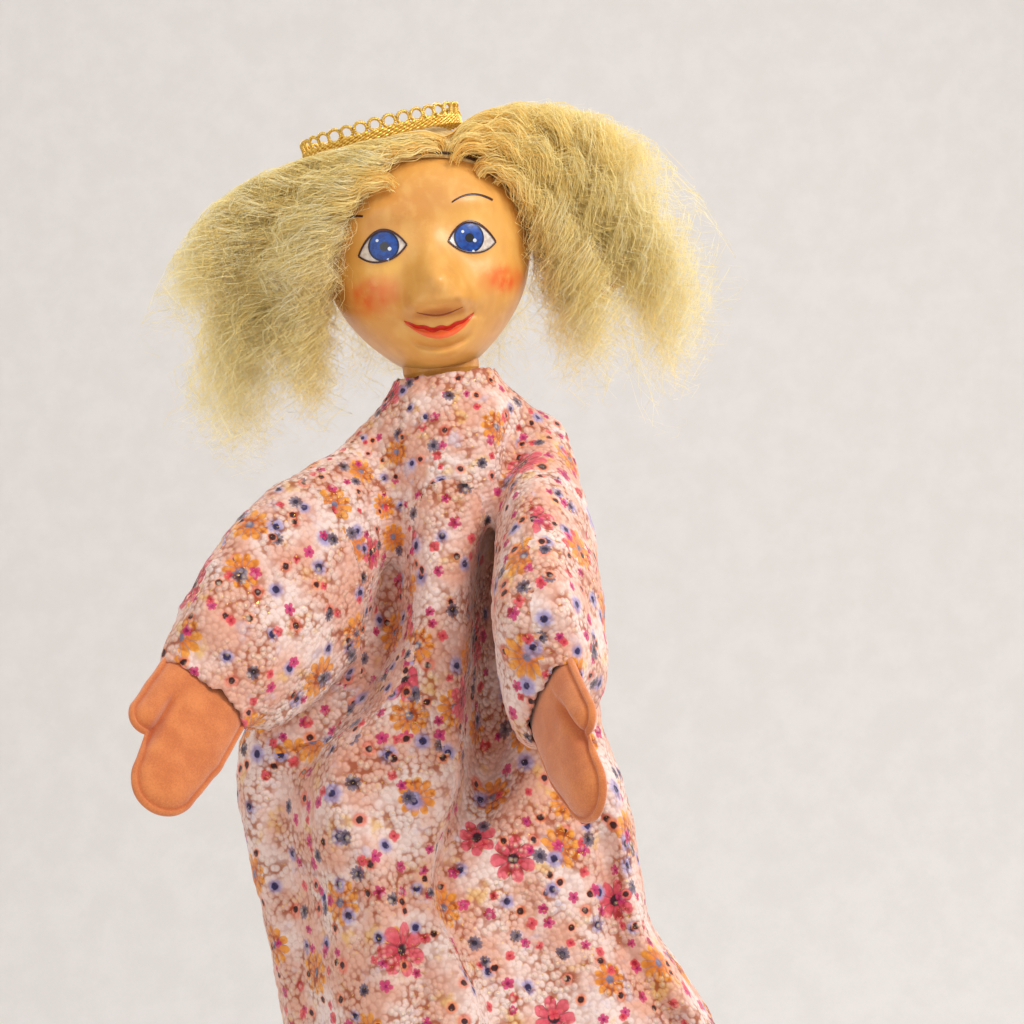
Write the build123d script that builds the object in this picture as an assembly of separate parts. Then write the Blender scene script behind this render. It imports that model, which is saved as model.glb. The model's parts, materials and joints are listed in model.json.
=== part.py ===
"""Glove puppet of a princess: a carved head worn on the index finger, and a sewn dress worn over the hand.

Frame, in millimetres: the origin is the centre of the finger hole's mouth, at the bottom of the neck. +Z runs up
through the neck, the face looks along -Y and +X is the puppet's own left. Right and left are the puppet's own.
"""

import os
from math import cos, pi, sin

from build123d import *

# ---------------------------------------------------------------- driving sizes
FINGER_R = 9.0  # radius left for the index finger inside the lining
FINGER_DEPTH = 50.0
LINING = 1.0
FLANGE_R = 13.4  # the neck's bottom rim, which keeps the drawstring on
WAIST_R = 12.4
SOCKET_R = 13.0  # the neck's plug inside the head
NECK_SHOULDER_Z = 18.5
CORD_R = 0.95
CORD_RING_R = 13.7
CORD_Z = 9.0  # height of the drawstring, and of the neck's bending point
COLLAR_IN_R = 15.3
COLLAR_T = 3.1
COLLAR_H = 6.4
HEM_Z = -246.0
HEM_BAND = 12.0
CLOTH = 1.6
FELT = 1.6
HAND_T = 9.0  # thickness of a felt hand
OUTER_SIGN = {"right": 1, "left": -1}  # which way across a sleeve or a hand points away from the body's middle

# The dress as ellipses: height, centre x, centre y, half width, half depth.
DRESS_SECTIONS = [
    (3.0, 0.0, 0.5, 21.2, 21.2),
    (-14.0, 0.0, 3.0, 31.5, 22.5),
    (-44.0, -2.0, 8.0, 33.0, 22.5),
    (-84.0, -12.0, 13.0, 46.0, 25.0),
    (-120.0, -19.0, 9.0, 63.0, 33.0),
    (-165.0, -13.0, 5.0, 68.0, 39.5),
    (-210.0, -8.0, 4.0, 71.5, 43.5),
    (HEM_Z, -4.0, 4.0, 74.0, 46.0),
]
PANEL_SPLIT_Y = 6.0  # the side seams, where the front and back panels meet
# A sleeve as ellipses: share of its length, half height, half width. The first one stands upright at the armhole.
SLEEVE_SECTIONS = [
    (0.0, 29.0, 13.5),
    (0.3, 32.0, 16.5),
    (0.6, 31.0, 16.5),
    (0.86, 26.0, 14.0),
    (1.0, 22.0, 12.5),
]
ARMHOLE_R = 19.0
ARMHOLE_HALF = 32.0
CUFF_DEPTH = 5.0

TUBE_LENGTH = 26.0  # felt tube for a finger inside each sleeve
TUBE_BACK = 4.0  # how far its end stands back from the cuff

ARMS = {
    "right": {
        "shoulder": Vector(-35, -7, -34),
        "sleeve_start": Vector(-42.5, -13.5, -36),
        "wrist": Vector(-88.6, -51.5, -76.0),
        "hand_axis": Vector(-0.50, -0.66, -0.56),
        "thumb_side": Vector(-0.62, -0.10, 0.66),
    },
    "left": {
        "shoulder": Vector(30, -7, -40),
        "sleeve_start": Vector(28, -16.5, -42),
        "wrist": Vector(18.0, -68.0, -92.0),
        "hand_axis": Vector(0.14, -0.80, -0.58),
        "thumb_side": Vector(0.30, -0.30, 0.80),
    },
}

# The mitten as hulls of circles: along the hand from the wrist, towards the thumb side, radius.
STEM_HALF = 10.5
STEM_IN = 3.5
MITTEN = [(17.0, -1.0, 14.8), (31.0, -4.0, 13.0), (46.0, -4.5, 11.5)]
THUMB = [(15.0, 9.0, 8.0), (28.0, 13.0, 5.8)]
STITCH_COUNT = 34

HAIR_GAP = 1.8
PELT_T = 1.6
PELT_INNER = 0.969  # the pelt's inner radii as a share of its outer ones
THREAD_R = 0.45
THREAD_FROM, THREAD_TO = 0.77, 0.985  # where the hairline's thread runs, as shares of the pelt's edge
HAIR_BOTTOM = {"right": 10.0, "left": 10.0, "back": 24.0}
PARTING_X = 27.0  # the side wools begin this far from the middle

CROWN_CENTRE = Vector(-10.0, 0.0, 98.5)
CROWN_TILT = 8.0  # degrees, down towards the puppet's right
CROWN_RX, CROWN_RY = 27.5, 21.0
BRAID_T = 1.4
BRAID_H = 3.2
LOOP_COUNT = 30
LOOP_R = 2.1
LOOP_WIRE = 0.55


# ---------------------------------------------------------------- helpers
def ellipsoid(centre, rx, ry, rz):
    """Solid ellipsoid with its axes along X, Y and Z."""
    return Location(centre) * scale(Sphere(1.0), by=(rx, ry, rz))


def lofted_shell(planes, half_sizes, wall):
    """Open tube of elliptical section through the planes, with its wall inside the given half sizes."""
    outer = loft([p * Ellipse(a, b) for p, (a, b) in zip(planes, half_sizes)])
    inner = loft([p * Ellipse(a - wall, b - wall) for p, (a, b) in zip(planes, half_sizes)])
    return outer - inner


def unit(v):
    return v * (1.0 / v.length)


def across(v, along):
    """The part of v that is square to the direction along, as a unit vector."""
    return unit(v - along * v.dot(along))


def save(name, shape):
    os.makedirs("parts", exist_ok=True)
    shape.label = name
    export_step(shape, f"parts/{name}.step")


# ---------------------------------------------------------------- head
SKULL = (Vector(0, 4, 62), 35.0, 37.0, 39.0)
JAW = (Vector(0, -7, 42.5), 30.5, 27.0, 25.5)


def head_block(grow=0.0):
    """Skull and jaw as two ellipsoids, grown outwards by grow."""
    blocks = [ellipsoid(c, rx + grow, ry + grow, rz + grow) for c, rx, ry, rz in (SKULL, JAW)]
    return blocks[0] + blocks[1]


def make_head():
    """Carved head with nose and chin, bored from below for the neck's plug."""
    nose = ellipsoid(Vector(0, -33, 45), 8.0, 12.5, 9.5)
    chin = ellipsoid(Vector(0, -24, 26.5), 13.0, 9.0, 8.5)
    socket = Pos(0, 0, FINGER_DEPTH / 2) * Cylinder(SOCKET_R, FINGER_DEPTH + 2)
    return head_block() + nose + chin - socket


def make_neck():
    """Turned neck: a tube with a rim at the bottom and a waist for the drawstring, glued into the head."""
    bore = FINGER_R + LINING
    with BuildPart() as neck:
        with BuildSketch(Plane.XZ):
            with BuildLine():
                Polyline(
                    (bore, 0),
                    (FLANGE_R - 0.7, 0),
                    (FLANGE_R, 0.7),
                    (FLANGE_R, 1.8),
                    (WAIST_R, 4.2),
                    (WAIST_R, NECK_SHOULDER_Z - 1.5),
                    (SOCKET_R, NECK_SHOULDER_Z),
                    (SOCKET_R, FINGER_DEPTH),
                    (bore, FINGER_DEPTH),
                    close=True,
                )
            make_face()
        revolve(axis=Axis.Z)
    return neck.part


def make_finger_lining():
    """Felt sleeve glued into the finger hole."""
    return Pos(0, 0, FINGER_DEPTH / 2) * (
        Cylinder(FINGER_R + LINING, FINGER_DEPTH) - Cylinder(FINGER_R, FINGER_DEPTH)
    )


# ---------------------------------------------------------------- wig and crown
def hairline_plane(lift=0.0):
    """Sloping plane from the forehead's top down to the nape, moved towards the hair by lift."""
    slope = unit(Vector(0, 1.05, 1.0))
    return Plane(origin=Vector(0, 0, 64.0) + slope * lift, x_dir=(1, 0, 0), z_dir=slope)


def make_wig_cap():
    """Skin of the wool pelt, glued over the skull: a cut spherical shell, stretched to the skull's three radii."""
    centre, *radii = SKULL
    outer = Vector(*[r + PELT_T for r in radii])
    cut = hairline_plane()
    normal = Vector(cut.z_dir.X * outer.X, cut.z_dir.Y * outer.Y, cut.z_dir.Z * outer.Z)
    away = cut.z_dir.dot(cut.origin - centre) / normal.length
    block = Plane(origin=unit(normal) * away, x_dir=(1, 0, 0), z_dir=unit(normal)) * Pos(0, 0, 5) * Box(10, 10, 10)
    shell = (Sphere(1.0) - Sphere(PELT_INNER)) & block
    return Location(centre) * scale(shell, by=(outer.X, outer.Y, outer.Z))


def make_hairline_cord():
    """Thread along the edge of the pelt on the forehead, on the puppet's left of the parting."""
    centre, rx, ry, rz = SKULL
    lift = PELT_T + THREAD_R + 0.05
    plane = hairline_plane(THREAD_R)
    edge = section(ellipsoid(centre, rx + lift, ry + lift, rz + lift), section_by=plane).edges()[0]
    path = edge.trim(THREAD_FROM, THREAD_TO)
    return sweep(Plane(origin=path @ 0, z_dir=path % 0) * Circle(THREAD_R), path=path)


def make_wools():
    """The wool as closed lumps: one each side, one behind and a fringe, all clear of the head, cap and crown."""
    head_space = head_block(PELT_T + HAIR_GAP)
    seat = crown_plane() * Pos(0, 0, 29.4) * scale(Cylinder(1.0, 60), by=(CROWN_RX + 4, CROWN_RY + 4, 1.0))
    side_right = ellipsoid(Vector(-52, 12, 48), 41, 31, 48)
    side_left = ellipsoid(Vector(57, 14, 54), 42, 32, 51)
    behind = ellipsoid(Vector(0, 22, 58), 62, 34, 52)
    lumps = {}
    for side, body, sign in (("right", side_right, -1), ("left", side_left, 1)):
        keep = Pos(sign * (PARTING_X + 100), 0, HAIR_BOTTOM[side] + 100) * Box(200, 200, 200)
        lumps[f"wool_{side}"] = (body & keep) - head_space - seat
    middle = Pos(0, 100 + 6, HAIR_BOTTOM["back"] + 100) * Box(2 * (PARTING_X - 0.5), 200, 200)
    lumps["wool_back"] = (behind & middle) - head_space - seat
    fringe = ellipsoid(Vector(-15, -24, 80), 16, 14, 15)
    corner = Pos(-PARTING_X + 0.5 + 14, -50 + 4, 100) * Box(28, 100, 80)
    lumps["wool_fringe"] = (fringe & corner) - head_space - seat
    return lumps


def crown_plane():
    return Plane(CROWN_CENTRE).rotated((0, -CROWN_TILT, 0))


def make_crown_braid():
    """Flat woven band of the gold braid, bent into a ring."""
    ring = Ellipse(CROWN_RX, CROWN_RY) - Ellipse(CROWN_RX - BRAID_T, CROWN_RY - BRAID_T)
    return extrude(crown_plane() * ring, amount=BRAID_H)


def make_crown_loops():
    """Row of wire loops that stand on the band."""
    loops = []
    base = crown_plane()
    stand = BRAID_H + LOOP_R + LOOP_WIRE + 0.05
    for i in range(LOOP_COUNT):
        a = 2 * pi * i / LOOP_COUNT
        rx, ry = CROWN_RX - BRAID_T / 2, CROWN_RY - BRAID_T / 2
        spot = Vector(rx * cos(a), ry * sin(a), stand)
        outward = unit(Vector(ry * cos(a), rx * sin(a), 0))
        loops.append(base * Plane(origin=spot, z_dir=outward) * Torus(LOOP_R, LOOP_WIRE))
    return Compound(children=loops)


# ---------------------------------------------------------------- neck gathering
def make_drawstring():
    """Cord ring that lies round the neck's waist."""
    return Pos(0, 0, CORD_Z) * Torus(CORD_RING_R, CORD_R)


def make_drawstring_knot():
    """Knot of the drawstring, behind the neck."""
    return ellipsoid(Vector(0, CORD_RING_R, CORD_Z + CORD_R + 1.0), 1.7, 1.2, 0.95)


def make_collar():
    """Gathered, turned-in top edge of the dress, a soft ring round the neck."""
    with BuildPart() as collar:
        with BuildSketch(Plane.XZ):
            with Locations((COLLAR_IN_R + COLLAR_T / 2, CORD_Z)):
                Ellipse(COLLAR_T / 2, COLLAR_H / 2)
        revolve(axis=Axis.Z)
    return collar.part


# ---------------------------------------------------------------- dress
def make_dress():
    """Front panel, back panel and hem band, cut from one shell that has a tall opening for each sleeve."""
    planes = [Plane(origin=(cx, cy, z)) for z, cx, cy, _, _ in DRESS_SECTIONS]
    shell = lofted_shell(planes, [(rx, ry) for *_, rx, ry in DRESS_SECTIONS], CLOTH)
    for arm in ARMS.values():
        x, y, z = arm["shoulder"]
        shell -= Pos(x, y, z) * Cylinder(ARMHOLE_R, 2 * ARMHOLE_HALF)
    top, big = HEM_Z + HEM_BAND, 400
    hem = shell & (Pos(0, 0, top - big / 2) * Box(big, big, big))
    front = shell & (Pos(0, PANEL_SPLIT_Y - big / 2, top + big / 2) * Box(big, big, big))
    back = shell & (Pos(0, PANEL_SPLIT_Y + big / 2, top + big / 2) * Box(big, big, big))
    return front, back, hem


def sleeve_frame(side, share):
    """Plane across a sleeve, at a share of its length: X is the sleeve's tall way, Z runs to the wrist."""
    arm = ARMS[side]
    reach = arm["wrist"] - arm["sleeve_start"]
    along = unit(reach)
    origin = arm["sleeve_start"] + along * ((reach.length - CUFF_DEPTH) * share)
    if share == 0.0:
        along = unit(Vector(along.X, along.Y, 0))
    return Plane(origin=origin, x_dir=across(Vector(0, 0, 1), along), z_dir=along)


def half_ring(tall, wide, sign):
    """One half of a sleeve's section, on the palm side or the back."""
    ring = Ellipse(tall, wide) - Ellipse(tall - CLOTH, wide - CLOTH)
    return ring & (Pos(0, sign * 100) * Rectangle(200, 200))


def make_sleeve(side):
    """Two halves of a sleeve, its turned-in cuff and the felt tube inside it for a finger."""
    halves = [
        loft([sleeve_frame(side, share) * half_ring(a, b, sign) for share, a, b in SLEEVE_SECTIONS])
        for sign in (OUTER_SIGN[side] * -1, OUTER_SIGN[side])
    ]
    _, tall, wide = SLEEVE_SECTIONS[-1]
    ring = Ellipse(tall, wide) - Ellipse(tall - CLOTH, wide - CLOTH)
    end = sleeve_frame(side, 1.0)
    cuff = end * extrude(ring, amount=CUFF_DEPTH)
    finger = extrude(Circle(FINGER_R + LINING) - Circle(FINGER_R), amount=-TUBE_LENGTH)
    return halves[0], halves[1], cuff, end * Pos(0, 0, -TUBE_BACK) * finger


# ---------------------------------------------------------------- hands
def hand_frame(side):
    """Plane of a hand: X along the hand to its tip, Y to the thumb side, Z square to the palm."""
    arm = ARMS[side]
    along = unit(arm["hand_axis"])
    thumb = across(arm["thumb_side"], along)
    return Plane(origin=arm["wrist"], x_dir=along, z_dir=along.cross(thumb))


def mitten_outline(inset=0.0):
    """Face of the mitten with its stem, drawn in for the filling by inset."""
    lobes = [
        make_hull([e for x, y, r in circles for e in (Pos(x, y) * Circle(r - inset)).edges()])
        for circles in (MITTEN, THUMB)
    ]
    stem_length = STEM_IN + MITTEN[0][0] - inset
    stem = Pos(stem_length / 2 - STEM_IN + inset, 0) * Rectangle(stem_length, 2 * (STEM_HALF - inset))
    return lobes[0] + lobes[1] + stem


def make_hand(side):
    """Palm and back felts, the filling between them and the row of edge stitches."""
    frame = hand_frame(side)
    body = extrude(mitten_outline(), amount=HAND_T / 2, both=True)
    core = extrude(mitten_outline(FELT), amount=HAND_T / 2 - FELT, both=True)
    felt = body - core
    slab = Box(200, 200, 100)
    outer = 50 * OUTER_SIGN[side]
    palm_side, back_side = Pos(0, 0, -outer) * slab, Pos(0, 0, outer) * slab
    stitches = []
    edge = mitten_outline().faces()[0].outer_wire()
    for i in range(STITCH_COUNT):
        t = (i + 0.5) / STITCH_COUNT
        spot, along = edge.position_at(t), edge.tangent_at(t)
        outward = Vector(along.Y, -along.X, 0)
        if mitten_outline().faces()[0].is_inside(spot + outward * 0.2):
            outward = outward * -1
        centre = spot + outward * 0.52
        if spot.X > 1.0 and edge.distance_to(centre) > 0.45:  # none in the sharp inner corners
            stitches.append(Location(centre) * Cylinder(0.32, 3.0))
    return {
        f"{side}_palm_felt": frame * (felt & palm_side),
        f"{side}_back_felt": frame * (felt & back_side),
        f"{side}_hand_filling": frame * core,
        f"{side}_hand_stitches": frame * Compound(children=stitches),
    }


# ---------------------------------------------------------------- build
def build():
    """Every piece by name."""
    pieces = {
        "head": make_head(),
        "neck": make_neck(),
        "finger_lining": make_finger_lining(),
        "wig_cap": make_wig_cap(),
        "crown_braid": make_crown_braid(),
        "crown_loops": make_crown_loops(),
        "hairline_cord": make_hairline_cord(),
        "neck_drawstring": make_drawstring(),
        "drawstring_knot": make_drawstring_knot(),
        "collar": make_collar(),
    }
    pieces.update(make_wools())
    pieces["dress_front"], pieces["dress_back"], pieces["hem_band"] = make_dress()
    for side in ARMS:
        front, back, cuff, tube = make_sleeve(side)
        pieces[f"{side}_sleeve_front"] = front
        pieces[f"{side}_sleeve_back"] = back
        pieces[f"{side}_cuff"] = cuff
        pieces[f"{side}_finger_tube"] = tube
        pieces.update(make_hand(side))
    return pieces


if __name__ == "__main__":
    for name, shape in build().items():
        save(name, shape)
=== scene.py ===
"""Looks of the princess glove puppet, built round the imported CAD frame.

Lengths are in millimetres in the numbers below and are turned into metres where a mesh is made. The row's frame holds:
+Z is up, the face looks along -Y and +X is the puppet's own left.
"""

import json
import logging
import math
from dataclasses import dataclass, field
from enum import Enum

import bpy
import numpy as np
from mathutils import Matrix, Vector, noise

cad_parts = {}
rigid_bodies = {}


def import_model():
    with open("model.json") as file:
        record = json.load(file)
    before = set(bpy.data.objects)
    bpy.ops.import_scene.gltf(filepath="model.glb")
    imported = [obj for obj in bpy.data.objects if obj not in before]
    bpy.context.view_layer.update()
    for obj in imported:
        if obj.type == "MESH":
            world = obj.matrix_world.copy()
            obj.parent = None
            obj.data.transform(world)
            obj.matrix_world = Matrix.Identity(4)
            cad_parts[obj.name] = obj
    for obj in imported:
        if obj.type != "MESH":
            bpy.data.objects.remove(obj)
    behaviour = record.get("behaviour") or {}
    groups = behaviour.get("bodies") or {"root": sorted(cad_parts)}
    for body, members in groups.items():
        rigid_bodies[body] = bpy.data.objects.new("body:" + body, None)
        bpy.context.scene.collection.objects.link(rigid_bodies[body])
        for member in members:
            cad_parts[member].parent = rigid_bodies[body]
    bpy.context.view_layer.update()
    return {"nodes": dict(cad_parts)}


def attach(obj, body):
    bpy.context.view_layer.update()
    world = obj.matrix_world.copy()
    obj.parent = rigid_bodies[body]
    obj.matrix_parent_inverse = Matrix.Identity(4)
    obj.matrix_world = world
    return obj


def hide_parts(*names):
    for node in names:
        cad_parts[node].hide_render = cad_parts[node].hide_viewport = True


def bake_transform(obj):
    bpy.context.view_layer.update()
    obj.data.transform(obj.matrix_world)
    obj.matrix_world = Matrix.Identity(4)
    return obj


LOG = logging.getLogger("puppet")
MM = 0.001
Array = np.ndarray


class Side(Enum):
    """The puppet's own sides. The value is the sign of X."""

    RIGHT = -1
    LEFT = 1

    @property
    def word(self) -> str:
        """The side's name, as the CAD nodes and bodies spell it."""
        return self.name.lower()


def srgb(r: int, g: int, b: int) -> tuple[float, float, float]:
    """Linear colour of an 8-bit display colour.

    Args:
        r, g, b: channels from 0 to 255.
    Returns:
        The linear channels from 0 to 1.
    """
    return tuple((c / 255 / 12.92) if c <= 10 else ((c / 255 + 0.055) / 1.055) ** 2.4 for c in (r, g, b))


def smooth_step(x: Array) -> Array:
    """Smooth ramp from 0 at x = 0 to 1 at x = 1.

    Args:
        x: any array.
    Returns:
        3 t squared less 2 t cubed, with t clipped to 0..1.
    """
    t = np.clip(x, 0.0, 1.0)
    return t * t * (3 - 2 * t)


def curve(x: Array, xs: list[float], ys: list[float]) -> Array:
    """Smooth curve through points, by cubic Hermite pieces with the slopes of their neighbours.

    Args:
        x: where the curve is wanted.
        xs: rising abscissae.
        ys: ordinates.
    Returns:
        The curve's values, held constant beyond both ends.
    """
    px, py = np.asarray(xs, float), np.asarray(ys, float)
    slope = np.gradient(py, px)
    x = np.clip(x, px[0], px[-1])
    i = np.clip(np.searchsorted(px, x) - 1, 0, len(px) - 2)
    h = px[i + 1] - px[i]
    t = (x - px[i]) / h
    t2, t3 = t * t, t * t * t
    return (
        (2 * t3 - 3 * t2 + 1) * py[i]
        + (t3 - 2 * t2 + t) * h * slope[i]
        + (3 * t2 - 2 * t3) * py[i + 1]
        + (t3 - t2) * h * slope[i + 1]
    )


def falling(z: Array, table: list[tuple[float, float]]) -> Array:
    """Curve through (z, value) pairs that are listed from the top down.

    Args:
        z: heights in mm.
        table: pairs with falling heights.
    Returns:
        The values at z.
    """
    pairs = table[::-1]
    return curve(z, [p[0] for p in pairs], [p[1] for p in pairs])


def unit(v: Array) -> Array:
    """Vectors of length 1 along v, over the last axis.

    Args:
        v: vectors.
    Returns:
        The same directions at length 1.
    """
    return v / np.maximum(np.linalg.norm(v, axis=-1, keepdims=True), 1e-9)


def noise3(points: Array, scale: float, seed: float = 0.0) -> Array:
    """Smooth noise from -1 to 1 at each point.

    Args:
        points: positions in mm, one per row.
        scale: size of a lump in mm.
        seed: shifts the noise.
    Returns:
        One value per point.
    """
    q = points / scale + np.array([seed * 13.1, seed * 7.7, seed * 3.3])
    return np.array([noise.noise(Vector(p)) for p in q.tolist()])


# ---------------------------------------------------------------- meshes
class MeshMaker:
    """Makes Blender objects from arrays in millimetres."""

    @staticmethod
    def grid(rows: int, cols: int, wrap: bool) -> Array:
        """Quads of a grid of rows by cols points.

        Args:
            rows: number of points down.
            cols: number of points across.
            wrap: whether the last column joins the first.
        Returns:
            Faces, four indices each.
        """
        r, c = np.meshgrid(np.arange(rows - 1), np.arange(cols if wrap else cols - 1), indexing="ij")
        n = (c + 1) % cols
        return np.stack(
            [r * cols + c, r * cols + n, (r + 1) * cols + n, (r + 1) * cols + c], -1
        ).reshape(-1, 4)

    @staticmethod
    def build(
        name: str,
        points: Array,
        faces: Array,
        material: bpy.types.Material | None = None,
        uv: Array | None = None,
        attributes: dict[str, Array] | None = None,
    ) -> bpy.types.Object:
        """One smooth-shaded mesh object at the origin.

        Args:
            name: the piece's name.
            points: vertices in mm.
            faces: vertex indices, the same number for each face.
            material: its material.
            uv: a UV per vertex.
            attributes: values or colours per vertex, by name.
        Returns:
            The object, linked into the scene.
        """
        mesh = bpy.data.meshes.new(name)
        points = np.asarray(points, np.float32).reshape(-1, 3) * MM
        faces = np.asarray(faces, np.int32)
        count, corners = faces.shape
        mesh.vertices.add(len(points))
        mesh.vertices.foreach_set("co", points.ravel())
        mesh.loops.add(count * corners)
        mesh.loops.foreach_set("vertex_index", faces.ravel())
        mesh.polygons.add(count)
        mesh.polygons.foreach_set("loop_start", np.arange(0, count * corners, corners, dtype=np.int32))
        mesh.update(calc_edges=True)
        mesh.validate()
        mesh.polygons.foreach_set("use_smooth", np.ones(len(mesh.polygons), bool))
        if uv is not None:
            layer = mesh.uv_layers.new(name="UVMap")
            index = np.empty(len(mesh.loops), np.int32)
            mesh.loops.foreach_get("vertex_index", index)
            layer.data.foreach_set("uv", np.asarray(uv, np.float32)[index].ravel())
        for key, value in (attributes or {}).items():
            value = np.asarray(value, np.float32)
            if value.ndim == 1:
                mesh.attributes.new(key, "FLOAT", "POINT").data.foreach_set("value", value)
            else:
                rgba = np.concatenate([value, np.ones((len(value), 1), np.float32)], 1)
                mesh.attributes.new(key, "FLOAT_COLOR", "POINT").data.foreach_set("color", rgba.ravel())
        if material is not None:
            mesh.materials.append(material)
        obj = bpy.data.objects.new(name, mesh)
        bpy.context.scene.collection.objects.link(obj)
        return obj

    @staticmethod
    def tube(
        path: Array, radius: Array | float, sides: int = 8, closed: bool = False, squash: float = 1.0
    ) -> tuple[Array, Array]:
        """Tube along a path.

        Args:
            path: points in mm.
            radius: its radius, one number or one per point.
            sides: points round it.
            closed: whether the path is a ring.
            squash: its thickness across, as a share of the radius.
        Returns:
            Vertices in mm and quads.
        """
        path = np.asarray(path, float)
        ahead = np.roll(path, -1, 0) - np.roll(path, 1, 0)
        if not closed:
            ahead[0], ahead[-1] = path[1] - path[0], path[-1] - path[-2]
        ahead = unit(ahead)
        ref = np.where(np.abs(ahead[:, 2:3]) < 0.9, [[0.0, 0.0, 1.0]], [[0.0, 1.0, 0.0]])
        a = unit(np.cross(ahead, ref))
        b = np.cross(ahead, a)
        angle = np.linspace(0, 2 * np.pi, sides, endpoint=False)
        r = np.broadcast_to(np.asarray(radius, float), (len(path),))[:, None, None]
        ring = a[:, None] * np.cos(angle)[None, :, None] + b[:, None] * np.sin(angle)[None, :, None] * squash
        points = path[:, None] + ring * r
        faces = MeshMaker.grid(len(path), sides, True)
        if closed:
            k = np.arange(sides)
            last = (len(path) - 1) * sides
            faces = np.concatenate([
                faces, np.stack([last + k, last + (k + 1) % sides, (k + 1) % sides, k], -1)
            ])
        return points.reshape(-1, 3), faces

    @staticmethod
    def join(parts: list[tuple[Array, Array]]) -> tuple[Array, Array]:
        """Several vertex and face lists as one.

        Args:
            parts: (vertices, faces) pairs.
        Returns:
            One pair.
        """
        points, faces, start = [], [], 0
        for p, f in parts:
            points.append(p)
            faces.append(f + start)
            start += len(p)
        return np.concatenate(points), np.concatenate(faces)


# ---------------------------------------------------------------- shader helper
class Sock:
    """A shader value that can be added, multiplied and compared in code."""

    def __init__(self, tree: bpy.types.NodeTree, socket: bpy.types.NodeSocket) -> None:
        """Keeps a node's output and the tree it stands in."""
        self.tree, self.socket = tree, socket

    def _math(self, op: str, *others: "Sock | float", clamp: bool = False) -> "Sock":
        """A Math node on this value.

        Args:
            op: the node's operation.
            others: its other inputs, as values or constants.
            clamp: whether the result is held to 0..1.
        Returns:
            The result.
        """
        node = self.tree.nodes.new("ShaderNodeMath")
        node.operation, node.use_clamp = op, clamp
        for slot, value in enumerate((self, *others)):
            if isinstance(value, Sock):
                self.tree.links.new(value.socket, node.inputs[slot])
            else:
                node.inputs[slot].default_value = value
        return Sock(self.tree, node.outputs[0])

    def __add__(self, o: "Sock | float") -> "Sock":
        """Sum of this value and another."""
        return self._math("ADD", o)

    def __sub__(self, o: "Sock | float") -> "Sock":
        """Difference of this value and another."""
        return self._math("SUBTRACT", o)

    def __mul__(self, o: "Sock | float") -> "Sock":
        """Product of this value and another."""
        return self._math("MULTIPLY", o)

    def __truediv__(self, o: "Sock | float") -> "Sock":
        """Quotient of this value and another."""
        return self._math("DIVIDE", o)

    def __pow__(self, o: "Sock | float") -> "Sock":
        """Power of this value and another."""
        return self._math("POWER", o)

    def fn(self, op: str, *others: "Sock | float", clamp: bool = False) -> "Sock":
        """The named Math operation on this value."""
        return self._math(op, *others, clamp=clamp)

    def ramp(self, low: float, high: float) -> "Sock":
        """Smooth ramp from 0 at low to 1 at high; low may be the larger."""
        node = self.tree.nodes.new("ShaderNodeMapRange")
        node.interpolation_type = "SMOOTHSTEP"
        self.tree.links.new(self.socket, node.inputs["Value"])
        node.inputs["From Min"].default_value, node.inputs["From Max"].default_value = low, high
        return Sock(self.tree, node.outputs["Result"])


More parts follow.
